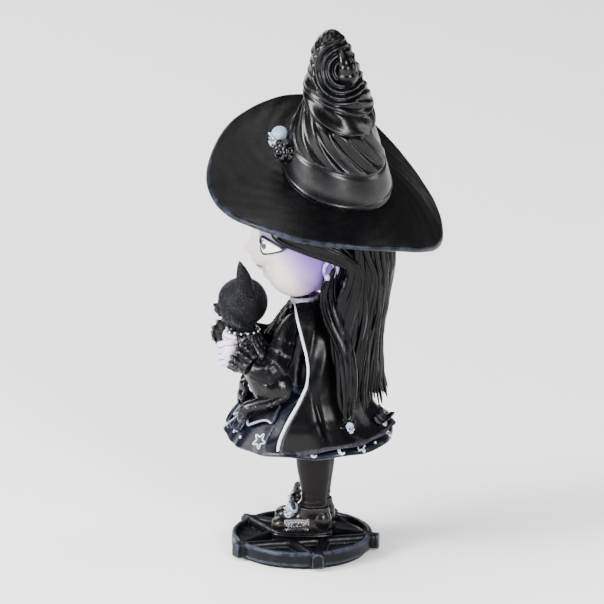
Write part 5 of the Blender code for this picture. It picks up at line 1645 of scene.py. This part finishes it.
def buildCatBody():
    shapes = [bodyTube(catRows, 80, 70, share=0.1)]
    shapes.append(ballShape((17.0, -7.6, 67.2), (4.4, 6.6, 6.4), 50, 34))
    shapes.append(ballShape((9.4, -9.6, 66.4), (4.8, 6.2, 6.0), 40, 28))
    for x in (15.0, 10.0):
        shapes.append(bodyTube([(x, -9.0, 67.0, 3.0), (x + 0.2, -12.6, 65.4, 2.5), (x, -14.4, 64.6, 2.2)],
                               30, 30, share=0.2))
    for x in (12.8, 6.4):
        shapes.append(bodyTube([(x, -18.4, 81.5, 2.3), (x + 0.2, -21.2, 78.4, 1.9),
                                (x, -23.0, 76.8, 1.7)], 26, 26, share=0.2))
    obj = fused(meshPiece("catBody", shapes), 0.3, 6)
    co = pointsOf(obj)
    furBumps(obj, 0.03, cat["seed"] + 1)
    markRidges(obj, 4)
    ridge = np.zeros(len(co))
    obj.data.attributes["ridge"].data.foreach_get("value", ridge)
    storeValue(obj, "ridge", ridge * (0.35 + 1.0 * smoothStep(74, 84, co[:, 2])))
    show(obj, "figure", "fur_resin", looks["catGloss"], "cat_body")
    obj = fused(meshPiece("catTail", bodyTube(tailRows, 90, 40, share=0.12)), 0.22, 3)
    furBumps(obj, 0.02, cat["seed"] + 2)
    markRidges(obj, 4)
    show(obj, "figure", "fur_resin", looks["catGloss"], "cat_tail")
    # collar with small studs and a front tag
    q = np.linspace(0, 2 * math.pi, 120, endpoint=False)
    ring = vec(9.0, -20.9, 87.4) + np.stack([5.4 * np.cos(q), 5.4 * np.sin(q), 0.1 * np.cos(3 * q)], -1)
    shapes = [tubeShape(np.vstack([ring, ring[:2]]), np.full(122, 0.82), 18, 0.75, side=(0, 0, 1))]
    obj = meshPiece("catCollar", shapes)
    evenRidge(obj, 0.15)
    show(obj, "figure", "grey_paint", looks["blackGloss"], "cat_collar")
    shapes = []
    for k in range(15):
        b = 2 * math.pi * k / 15
        spot = vec(9.0 + 6.05 * math.cos(b), -20.9 + 6.05 * math.sin(b), 87.4)
        shapes.append(ballShape(spot, (0.42, 0.42, 0.42), 14, 10))
    shapes.append(ballShape((9.0, -27.3, 86.0), (0.9, 0.35, 1.1), 24, 16))
    obj = meshPiece("collarStuds", shapes)
    evenRidge(obj, 0.7)
    show(obj, "figure", "silver_paint", looks["silverPaint"])


leftSleeve = [(6.8, -1.4, 92.6, 2.0), (9.0, -3.0, 90.4, 3.0), (11.8, -4.5, 86.6, 4.0),
              (15.3, -5.7, 81.5, 4.6),
              (18.6, -7.4, 77.2, 4.9), (20.0, -10.0, 75.0, 4.8), (19.6, -13.2, 74.8, 4.3),
              (18.4, -16.2, 75.8, 3.7)]
rightSleeve = [(-6.8, -1.4, 92.6, 2.0), (-9.0, -3.0, 90.4, 3.0), (-12.4, -4.8, 86, 4.2),
               (-17.2, -8.2, 79.5, 4.8),
               (-16.6, -13, 76.8, 4.4), (-12.6, -19.6, 79.2, 3.8), (-8.4, -24.2, 81.6, 3)]
leftCuff = [(18.2, -16.2, 76.0, 3.8), (17.2, -18.2, 77.2, 4.7), (16.0, -20.2, 78.4, 5.3),
            (15.2, -21.6, 79.2, 5.6)]
rightCuff = [(-7.4, -25.0, 82.0, 3.2), (-4.4, -26.8, 82.3, 4.1), (-1.4, -28.0, 82.5, 4.8),
             (0.4, -28.4, 82.6, 5.0)]


def sleeveFolds(k):
    # lengthways pleats with laps gathered at the elbow
    def section(q, t):
        elbow = bump(t, 0.55, 0.2)
        laps = 0.10 * (saw(t * 8 + 0.16 * np.sin(q + k), 0.3) - 0.5) * elbow
        long = 0.035 * np.cos(5 * q + 3 * t + k) + 0.03 * np.cos(8 * q - 4 * t)
        return 1 + laps + long * (1 - 0.5 * elbow)
    return section


def cuffFrill(waves, k):
    def section(q, t):
        return (1 + (0.05 + 0.13 * t ** 1.5) * np.cos(waves * q + k + 0.6 * t)
                + 0.05 * t * np.cos(2.3 * waves * q))
    return section


def buildArms():
    for rows, name, nodeName, k in ((leftSleeve, "leftSleeve", "left_sleeve", 0.4),
                                    (rightSleeve, "rightSleeve", "right_sleeve", 1.7)):
        obj = meshPiece(name, bodyTube(rows, 150, 110, sleeveFolds(k), 0.05))
        markRidges(obj, 5, 0.7)
        show(obj, "figure", "black_resin", looks["capeBlack"], nodeName)
    for rows, name, nodeName, k in ((leftCuff, "leftCuff", "left_cuff", 0.2),
                                    (rightCuff, "rightCuff", "right_cuff", 1.1)):
        shapes = [bodyTube(rows, 50, 150, cuffFrill(9, k), 0.1)]
        line = curveThrough(rows, 50)
        axis = unit(line[-1, :3] - line[-12, :3])
        u = unit(np.cross(axis, vec(0, 0, 1)))
        v = np.cross(axis, u)
        for layer in range(3):
            count = 13 - layer
            spot = line[-4 - 9 * layer]
            for n in range(count):
                b = 2 * math.pi * (n + 0.4 * layer) / count
                out = math.cos(b) * u + math.sin(b) * v
                place = spot[:3] + out * spot[3] * (1.0 + 0.06 * math.sin(3 * n))
                petal = ballShape((0, 0, 0), (1.15, 0.85, 0.75), 16, 12)
                shapes.append(placed(petal, place, axis + 0.6 * out, np.cross(out, axis), out - 0.6 * axis))
        obj = fused(meshPiece(name, shapes), 0.2, 1)
        furBumps(obj, 0.09, 7, 0.8)
        markRidges(obj, 3)
        show(obj, "figure", "black_resin", looks["laceBlack"], nodeName)


def buildHands():
    shapes = [ballShape((11.6, -25.0, 79.6), (4.2, 3.4, 4.6), 50, 34)]
    lines = []
    for k in range(4):
        z = 84.4 - 2.35 * k
        reach = (0.86, 1.0, 0.97, 0.8)[k]
        rows = [(14.6, -23.4, z - 0.2, 1.2), (12.6, -26.8, z - 1.6, 1.35), (9.4, -29.2, z - 3.2, 1.3),
                (10.2 - 5.0 * reach, -29.6, z - 4.2, 1.15), (10.0 - 6.6 * reach, -28.2, z - 4.6, 0.95)]
        lines.append(bodyTube(rows, 50, 26, share=0.12))
    thumb = bodyTube([(12.6, -23.4, 82.0, 1.6), (11.6, -24.8, 84.6, 1.4), (9.6, -26.0, 86.0, 1.1)], 30, 24,
                     share=0.15)
    obj = fused(meshPiece("leftHand", [*shapes, *lines, thumb]), 0.17, 2)
    paintHand(obj)
    show(obj, "figure", "lilac_resin", looks["lilacSkin"], "left_hand")
    shapes = [ballShape((4.0, -26.6, 83.0), (3.4, 2.4, 2.9), 40, 28)]
    for k in range(4):
        z = 84.9 - 1.5 * k
        rows = [(3.4, -27.2, z - 0.3, 1.05), (7.4, -27.4, z + 0.1, 1.1), (11.0, -26.0, z + 0.4, 1.05),
                (13.6 - 0.5 * k, -22.8, z + 0.5, 0.9)]
        shapes.append(bodyTube(rows, 44, 22, share=0.12))
    obj = fused(meshPiece("rightHand", shapes), 0.17, 2)
    paintHand(obj)
    show(obj, "figure", "lilac_resin", looks["lilacSkin"], "right_hand")


def paintHand(obj):
    # skin is dry-brushed paler on the knuckles and stays violet between the fingers, where the resin look
    # also paints shade into the creases
    markRidges(obj, 4)
    values = np.zeros(len(obj.data.vertices))
    obj.data.attributes["ridge"].data.foreach_get("value", values)
    hollow = np.zeros(len(values))
    obj.data.attributes["hollow"].data.foreach_get("value", hollow)
    storeValue(obj, "ridge", np.clip(0.75 + 0.3 * values - 1.1 * hollow, 0, 1.3))


buildCatHead()
buildCatBody()
buildArms()
buildHands()
print("cat and arms built")


# legs, shoes and base
base = {"radius": 26.0, "floor": 4.2, "tip": 27.8, "bar": 3.6, "beadGap": 1.35, "beadSize": 0.42}
legRows = [(18.8, 5, 3.4, 4.5), (24, 5.2, 3.6, 4.8), (29, 5.2, 4.2, 5.6), (34, 5, 4.7, 6.3),
           (39, 4.7, 4.9, 6.4), (44, 4.4, 4.7, 6), (48, 4.3, 4.5, 5.6)]
footOffset = 5.6
shoeRings = [(9.2, -10.3, 11.6, 0), (10.8, -10.5, 11.7, 0.15), (12.6, -9.8, 11.6, 0),
             (13.8, -7.6, 11.4, -0.4), (14.8, -3.2, 11.2, -0.5), (16.4, -1.2, 10.9, -0.3),
             (18.4, -0.6, 10.6, -0.1)]
shoe = {"half": 4.25, "taper": 0.22, "roundness": 0.75, "toe": -10.5, "length": 22.2}


def shoeWidth(a):
    # half the shoe's width at an angle round its outline
    t = (1 - np.sin(a)) / 2
    return shoe["half"] * (1 - shoe["taper"] * (1 - t)) * np.abs(np.cos(a)) ** shoe["roundness"]


def shoeHalf(y):
    # the same, at a distance along the shoe
    return shoeWidth(np.arcsin(np.clip(2 * (y - shoe["toe"]) / shoe["length"] - 1, -1, 1)))


def shoeOutline(a, front, back, grow):
    t = (1 - np.sin(a)) / 2
    y = front + (back - front) * (1 - t)
    half = shoeWidth(a) + grow
    return np.maximum(half, 0.02) * np.sign(np.cos(a) + 1e-9), y


def buildLegs():
    for side, prefix in ((1, "left"), (-1, "right")):
        rows = [row + (side * footOffset,) for row in legRows]

        def creases(a, z, side=side):
            ankle = 0.16 * (saw(z * 0.42 + 0.14 * np.cos(a), 0.3) - 0.5) * smoothStep(27, 21, z)
            seam = 0.28 * bump(np.angle(np.exp(1j * (a - math.pi))), 0, 0.05)
            top = 0.28 * bump(z, 43.6, 0.55)
            return ankle + seam + top + 0.05 * np.cos(3 * a + 0.2 * z)
        obj = meshPiece(prefix + "Stocking", ringBody(rows, 150, 150, creases))
        markRidges(obj, 4)
        co = pointsOf(obj)
        a = np.arctan2(co[:, 0] - side * footOffset, -(co[:, 1] - 5))
        band = smoothStep(43.9, 44.2, co[:, 2])
        seamLine = bump(np.abs(a), math.pi, 0.07)
        ridge = np.zeros(len(co))
        obj.data.attributes["ridge"].data.foreach_get("value", ridge)
        storeValue(obj, "ridge", ridge * 0.7 + 0.7 * seamLine * (1 - band))
        storeValue(obj, "thigh", band)
        show(obj, "figure", "stocking_resin", looks["stocking"], prefix + "_leg")
        line = np.linspace(0, 2 * math.pi, 90)
        top = np.stack([side * footOffset + 4.98 * np.sin(line), 4.4 - 6.28 * np.cos(line),
                        43.7 + 0 * line], -1)
        lace = meshPiece(prefix + "StockingTop", tubeShape(top, np.full(90, 0.36), 12))
        evenRidge(lace, 0.1)
        show(lace, "figure", "stocking_resin", looks["blackSatin"])


def buildShoes():
    a = rowOf(0, 2 * math.pi, 160, endpoint=False)
    for side, prefix in ((1, "left"), (-1, "right")):
        x0 = side * footOffset
        line = curveThrough([(z, f, b, g) for z, f, b, g in shoeRings], 70)
        z, front, back, grow = [line[:, k][:, None] for k in range(4)]
        half, y = shoeOutline(a + 0 * z, front, back, grow)
        toe = smoothStep(-2.5, -6.5, y)
        heel = smoothStep(5.5, 8, y)
        swell = 0.32 * toe + 0.25 * heel
        points = np.stack([x0 + half * (1 + 0.07 * swell), y - 0.25 * toe, z + 0 * half], -1)
        shapes = [gridShape(points, True, True, True),
                  ballShape((x0, -6.3, 11.7), (4.25, 4.35, 2.75), 60, 40),
                  ballShape((x0 + side * 0.4, 8.0, 13.6), (3.5, 3.6, 4.2), 40, 28)]
        finished(fused(meshPiece(prefix + "Shoe", shapes), 0.2, 6), 4, "figure", "black_resin",
                 looks["shoeBlack"], prefix + "_shoe")
        # sole with a grooved rim
        zs = np.array([7.15, 7.3, 7.6, 7.9, 8.05, 8.2, 8.6, 8.85])[:, None]
        out = np.array([-0.15, 0.0, 0.05, -0.12, -0.2, 0.02, 0.05, -0.1])[:, None]
        half, y = shoeOutline(a + 0 * zs, -10.7 + 0 * zs, 11.8 + 0 * zs, out)
        sole = gridShape(np.stack([x0 + half, y * (1 + 0.006 * out), zs + 0 * half], -1), True, True, True)
        finished(meshPiece(prefix + "Sole", sole), 3, "figure", "black_resin", looks["blackSatin"],
                 prefix + "_shoe_sole")
        # the brushed strap over the instep, with a stitched zigzag under it
        shapes = []
        for face in (-1, 1):
            t = rowOf(0, 1, 60)
            v = columnOf(-1, 1, 16)
            yy = -5.6 + 9.2 * t
            half = shoeHalf(yy)
            zz = 12.2 + 0.9 * t + v * 1.45
            hatch = 0.09 * np.cos(16 * t * math.pi - 5 * v)
            x = x0 + face * (half - 0.35 * np.abs(v) ** 3 + 0.35 + hatch - 0.5 * smoothStep(12.6, 14.6, zz))
            outer = np.stack([x + 0 * zz, yy + 0 * zz, zz], -1)
            shapes.append(slabShape(outer, outer - vec(face * 1.4, 0, 0)))
            zig = np.linspace(0, 1, 120)
            yz = -6.2 + 9.6 * zig
            half = shoeHalf(yz)
            wave = 0.45 * (2 * np.abs(2 * np.mod(zig * 10, 1) - 1) - 1)
            path = np.stack([x0 + face * (half + 0.22), yz, 10.1 + 0.5 * zig + wave], -1)
            shapes.append(tubeShape(path, roundEnds(np.full(120, 0.2), 0.02), 8))
        finished(meshPiece(prefix + "Strap", shapes), 2, "figure", "grey_paint", looks["strapPaint"])
        skull = makeSkull(prefix + "Buckle", vec(x0 + side * 1.0, -3.4, 17.0), (side * 0.62, -0.78, 0.05),
                          (0, 0.1, 1), 3.0, 0.14)
        show(skull, "figure", "silver_paint", looks["skullPaint"], prefix + "_skull_buckle")
        bow = []
        for s in (-1, 1):
            bow.append(bowLobe((x0 + side * 0.8, -3.2, 20.0), (x0 + side * 0.8 + s * 3.4, -1.8, 21.6),
                               1.5, 0.5, s))
            bow.append(bowLobe((x0 + side * 0.8, -3.2, 20.0), (x0 + side * 0.8 + s * 3.0, -1.4, 18.4),
                               1.2, 0.5, s))
        bow.append(ballShape((x0 + side * 0.8, -3.6, 20.0), (0.9, 0.8, 0.9), 20, 14))
        finished(fused(meshPiece(prefix + "ShoeBow", bow), 0.15, 2), 3, "figure", "black_resin",
                 looks["blackGloss"])


def barShape(start, end, wide, low, high):
    # a star bar with a soft ridge along its top
    run = unit(end - start)
    across = vec(-run[1], run[0], 0)
    section = [(-0.5, 0), (-0.5, 0.62), (-0.42, 0.86), (-0.22, 0.97), (0, 1.0), (0.22, 0.97), (0.42, 0.86),
               (0.5, 0.62), (0.5, 0)]
    fine = curveThrough(section, 34)
    t = columnOf(0, 1, 60)
    along = start + t[..., None] * (end - start)
    points = along + across * (fine[:, 0] * wide)[None, :, None] \
        + vec(0, 0, 1) * (low + fine[:, 1] * (high - low))[None, :, None]
    return gridShape(points, True, True, True)


def beadPath(name, path):
    # a bead string built with Geometry Nodes along the foot of a bar
    curve = bpy.data.meshes.new(name + "Line")
    curve.from_pydata((path * mm).tolist(), [(i, i + 1) for i in range(len(path) - 1)], [])
    obj = bpy.data.objects.new(name, curve)
    scene.collection.objects.link(obj)
    tree = bpy.data.node_groups.get("beadString") or makeBeadTree()
    beads = obj.modifiers.new("beads", "NODES")
    beads.node_group = tree
    values = {"Gap": base["beadGap"] * mm, "Size": base["beadSize"] * mm, "Seed": 7}
    for item in tree.interface.items_tree:
        if item.in_out == "INPUT" and item.name in values:
            beads[item.identifier] = values[item.name]
    settled(obj)
    return obj


def makeBeadTree():
    tree = bpy.data.node_groups.new("beadString", "GeometryNodeTree")
    tree.interface.new_socket(name="Geometry", in_out="INPUT", socket_type="NodeSocketGeometry")
    for socketName, kind, value in (("Gap", "NodeSocketFloat", 0.00135),
                                    ("Size", "NodeSocketFloat", 0.0004),
                                    ("Seed", "NodeSocketInt", 7)):
        tree.interface.new_socket(name=socketName, in_out="INPUT", socket_type=kind).default_value = value
    tree.interface.new_socket(name="Geometry", in_out="OUTPUT", socket_type="NodeSocketGeometry")
    add, link = tree.nodes.new, tree.links.new
    start, end = add("NodeGroupInput"), add("NodeGroupOutput")
    toCurve, points = add("GeometryNodeMeshToCurve"), add("GeometryNodeResampleCurve")
    points.mode = "LENGTH"
    toPoints = add("GeometryNodeCurveToPoints")
    toPoints.mode = "EVALUATED"
    ball = add("GeometryNodeMeshUVSphere")
    ball.inputs["Segments"].default_value = 14
    ball.inputs["Rings"].default_value = 9
    place, spread = add("GeometryNodeInstanceOnPoints"), add("FunctionNodeRandomValue")
    spread.inputs[2].default_value = 0.7
    spread.inputs[3].default_value = 1.15
    real, paint = add("GeometryNodeRealizeInstances"), add("GeometryNodeSetMaterial")
    smooth = add("GeometryNodeSetShadeSmooth")
    paint.inputs["Material"].default_value = looks["silverPaint"]
    link(start.outputs["Geometry"], toCurve.inputs["Mesh"])
    link(toCurve.outputs["Curve"], points.inputs["Curve"])
    link(start.outputs["Gap"], points.inputs["Length"])
    link(points.outputs["Curve"], toPoints.inputs["Curve"])
    link(toPoints.outputs["Points"], place.inputs["Points"])
    link(start.outputs["Size"], ball.inputs["Radius"])
    link(ball.outputs["Mesh"], place.inputs["Instance"])
    link(start.outputs["Seed"], spread.inputs["Seed"])
    link(spread.outputs[1], place.inputs["Scale"])
    link(place.outputs["Instances"], smooth.inputs["Geometry"])
    link(smooth.outputs["Geometry"], real.inputs["Geometry"])
    link(real.outputs["Geometry"], paint.inputs["Geometry"])
    link(paint.outputs["Geometry"], end.inputs["Geometry"])
    return tree


def buildBase():
    a = rowOf(0, 2 * math.pi, 360, endpoint=False)
    # profile of the round plate: underside, rounded rim, recessed floor
    profile = [(0.02, 1.15), (24.6, 1.15), (25.6, 1.5), (26.0, 2.2), (26.05, 4.0), (26.0, 5.9), (25.7, 6.6),
               (25.1, 6.9), (24.5, 6.8), (24.1, 6.3), (23.9, 5.2), (23.6, 4.4), (23.0, 4.2), (0.02, 4.2)]
    r, z = [np.array(p) for p in zip(*profile)]
    fineR = np.concatenate([np.linspace(r[i], r[i + 1], 9)[:-1] for i in range(len(r) - 1)] + [r[-1:]])
    fineZ = np.concatenate([np.linspace(z[i], z[i + 1], 9)[:-1] for i in range(len(z) - 1)] + [z[-1:]])
    rough = 0.05 * np.sin(9 * a + 0.5 * fineZ[:, None]) + 0.03 * np.sin(23 * a + 0.3 * fineR[:, None])
    onRim = smoothStep(23, 24.5, fineR)[:, None]
    rr = fineR[:, None] + rough * onRim
    zz = fineZ[:, None] + 0.08 * np.sin(0.9 * rr + 6 * a) * (fineR[:, None] < 23) * (fineZ[:, None] > 3)
    plate = gridShape(np.stack([rr * np.cos(a), rr * np.sin(a), zz + 0 * a], -1), True, True, True)
    shapes = [plate]
    tips = [vec(base["tip"] * math.cos(math.radians(90 + 72 * k)),
                base["tip"] * math.sin(math.radians(90 + 72 * k)), 0) for k in range(5)]
    for k in range(5):
        start, end = tips[k], tips[(k + 2) % 5]
        run = unit(end - start)
        shapes.append(barShape(start + run * 1.4, end - run * 1.4, base["bar"], 1.6, 7.0))
        out = unit(tips[k])
        block = barShape(tips[k] - out * 4.2, tips[k] + out * 0.9, 4.4, 1.3, 7.0)
        shapes.append(block)
    obj = fused(meshPiece("starBase", shapes), 0.3, 3)
    co = pointsOf(obj)
    rng = np.random.default_rng(3)
    chip = np.zeros(len(co))
    for _ in range(16):
        chip += np.sin(co @ (unit(rng.normal(size=3)) * rng.uniform(0.5, 1.6)) + rng.uniform(0, 6.3))
    setPoints(obj, co + normalsOf(obj) * (0.012 * chip)[:, None])
    markRidges(obj, 5)
    ridge = np.zeros(len(co))
    obj.data.attributes["ridge"].data.foreach_get("value", ridge)
    side = smoothStep(25.2, 25.9, np.hypot(co[:, 0], co[:, 1]))
    storeValue(obj, "ridge", ridge * 0.8 + 0.42 * side)
    show(obj, "figure", "navy_resin", looks["baseStone"], "base_plate")
    for k in range(5):
        start, end = tips[k], tips[(k + 2) % 5]
        run = unit(end - start)
        across = vec(-run[1], run[0], 0)
        middle = (start + end) / 2
        outward = across if np.dot(across, middle) > 0 else -across
        t = columnOf(0.16, 0.84, 40)
        path = start + (end - start) * t + outward * (base["bar"] / 2 + 0.35) + vec(0, 0, 4.35)
        path = path[np.hypot(path[:, 0], path[:, 1]) < 22.8]
        beads = beadPath("beadRow" + str(k + 1), path)
        evenRidge(beads, 0.35)
        show(beads, "figure", "silver_paint", looks["beadPaint"])


def thighBand(tree, colour, height):
    return mixColour(tree, attributeOf(tree, "thigh"), colour, (0.62, 0.5, 0.55)), height


def hatching(tree, colour, height):
    # fine diagonal strokes of silver
    coords = tree.nodes.new("ShaderNodeTexCoord")
    wave = tree.nodes.new("ShaderNodeTexWave")
    wave.inputs["Scale"].default_value = 900.0
    wave.inputs["Distortion"].default_value = 3.0
    wave.inputs["Detail"].default_value = 2.0
    tree.links.new(coords.outputs["Object"], wave.inputs["Vector"])
    strokes = mapRange(tree, wave.outputs["Color"], 0.55, 0.9, 0.0, 0.6)
    return mixColour(tree, strokes, colour, (0.42, 0.42, 0.47)), height


looks["stocking"] = resinLook("stockingResin", (0.0045, 0.0034, 0.0036), (0.06, 0.055, 0.062), 0.45, 0.5,
                              (0.3, 0.46), 0.05, grain=2600, extra=thighBand)
looks["shoeBlack"] = resinLook("shoeBlack", (0.0042, 0.003, 0.0028), (0.08, 0.066, 0.066), 0.3, 0.65,
                               (0.2, 0.36), 0.03, coat=0.1)
looks["strapPaint"] = resinLook("strapPaint", (0.012, 0.012, 0.014), (0.24, 0.24, 0.27), 0.6, 0.4,
                                (0.3, 0.45), 0.08, extra=hatching)
looks["beadPaint"] = resinLook("beadPaint", (0.006, 0.007, 0.01), (0.34, 0.37, 0.44), 0.55, 0.35,
                               (0.25, 0.4), 0.04)

buildLegs()
buildShoes()
buildBase()
print("legs, shoes and base built")


# how strongly each dark finish mirrors the studio
sheen = {"hairBlack": 0.13, "capeBlack": 0.1, "catFur": 0.08, "hatFelt": 0.13, "hatCloth": 0.2,
         "baseStone": 0.14, "hatSatin": 0.3, "navySkirt": 0.14, "stocking": 0.1}
for look, level in sheen.items():
    shader = looks[look].node_tree.nodes["Principled BSDF"]
    shader.inputs["Specular IOR Level"].default_value = level
    shader.inputs["Coat Weight"].default_value = 0.0


# hidden and small frame pieces keep their own shape and get a finish
for nodeName, look in (("base_felt_pad", "felt"), ("neck_spring", "steel"), ("spring_cap", "steel"),
                       ("head_plug", "plugResin"), ("choker", "blackSatin")):
    node = frame["nodes"][nodeName]
    if not node.hide_render:
        node.data.materials.clear()
        node.data.materials.append(looks[look])
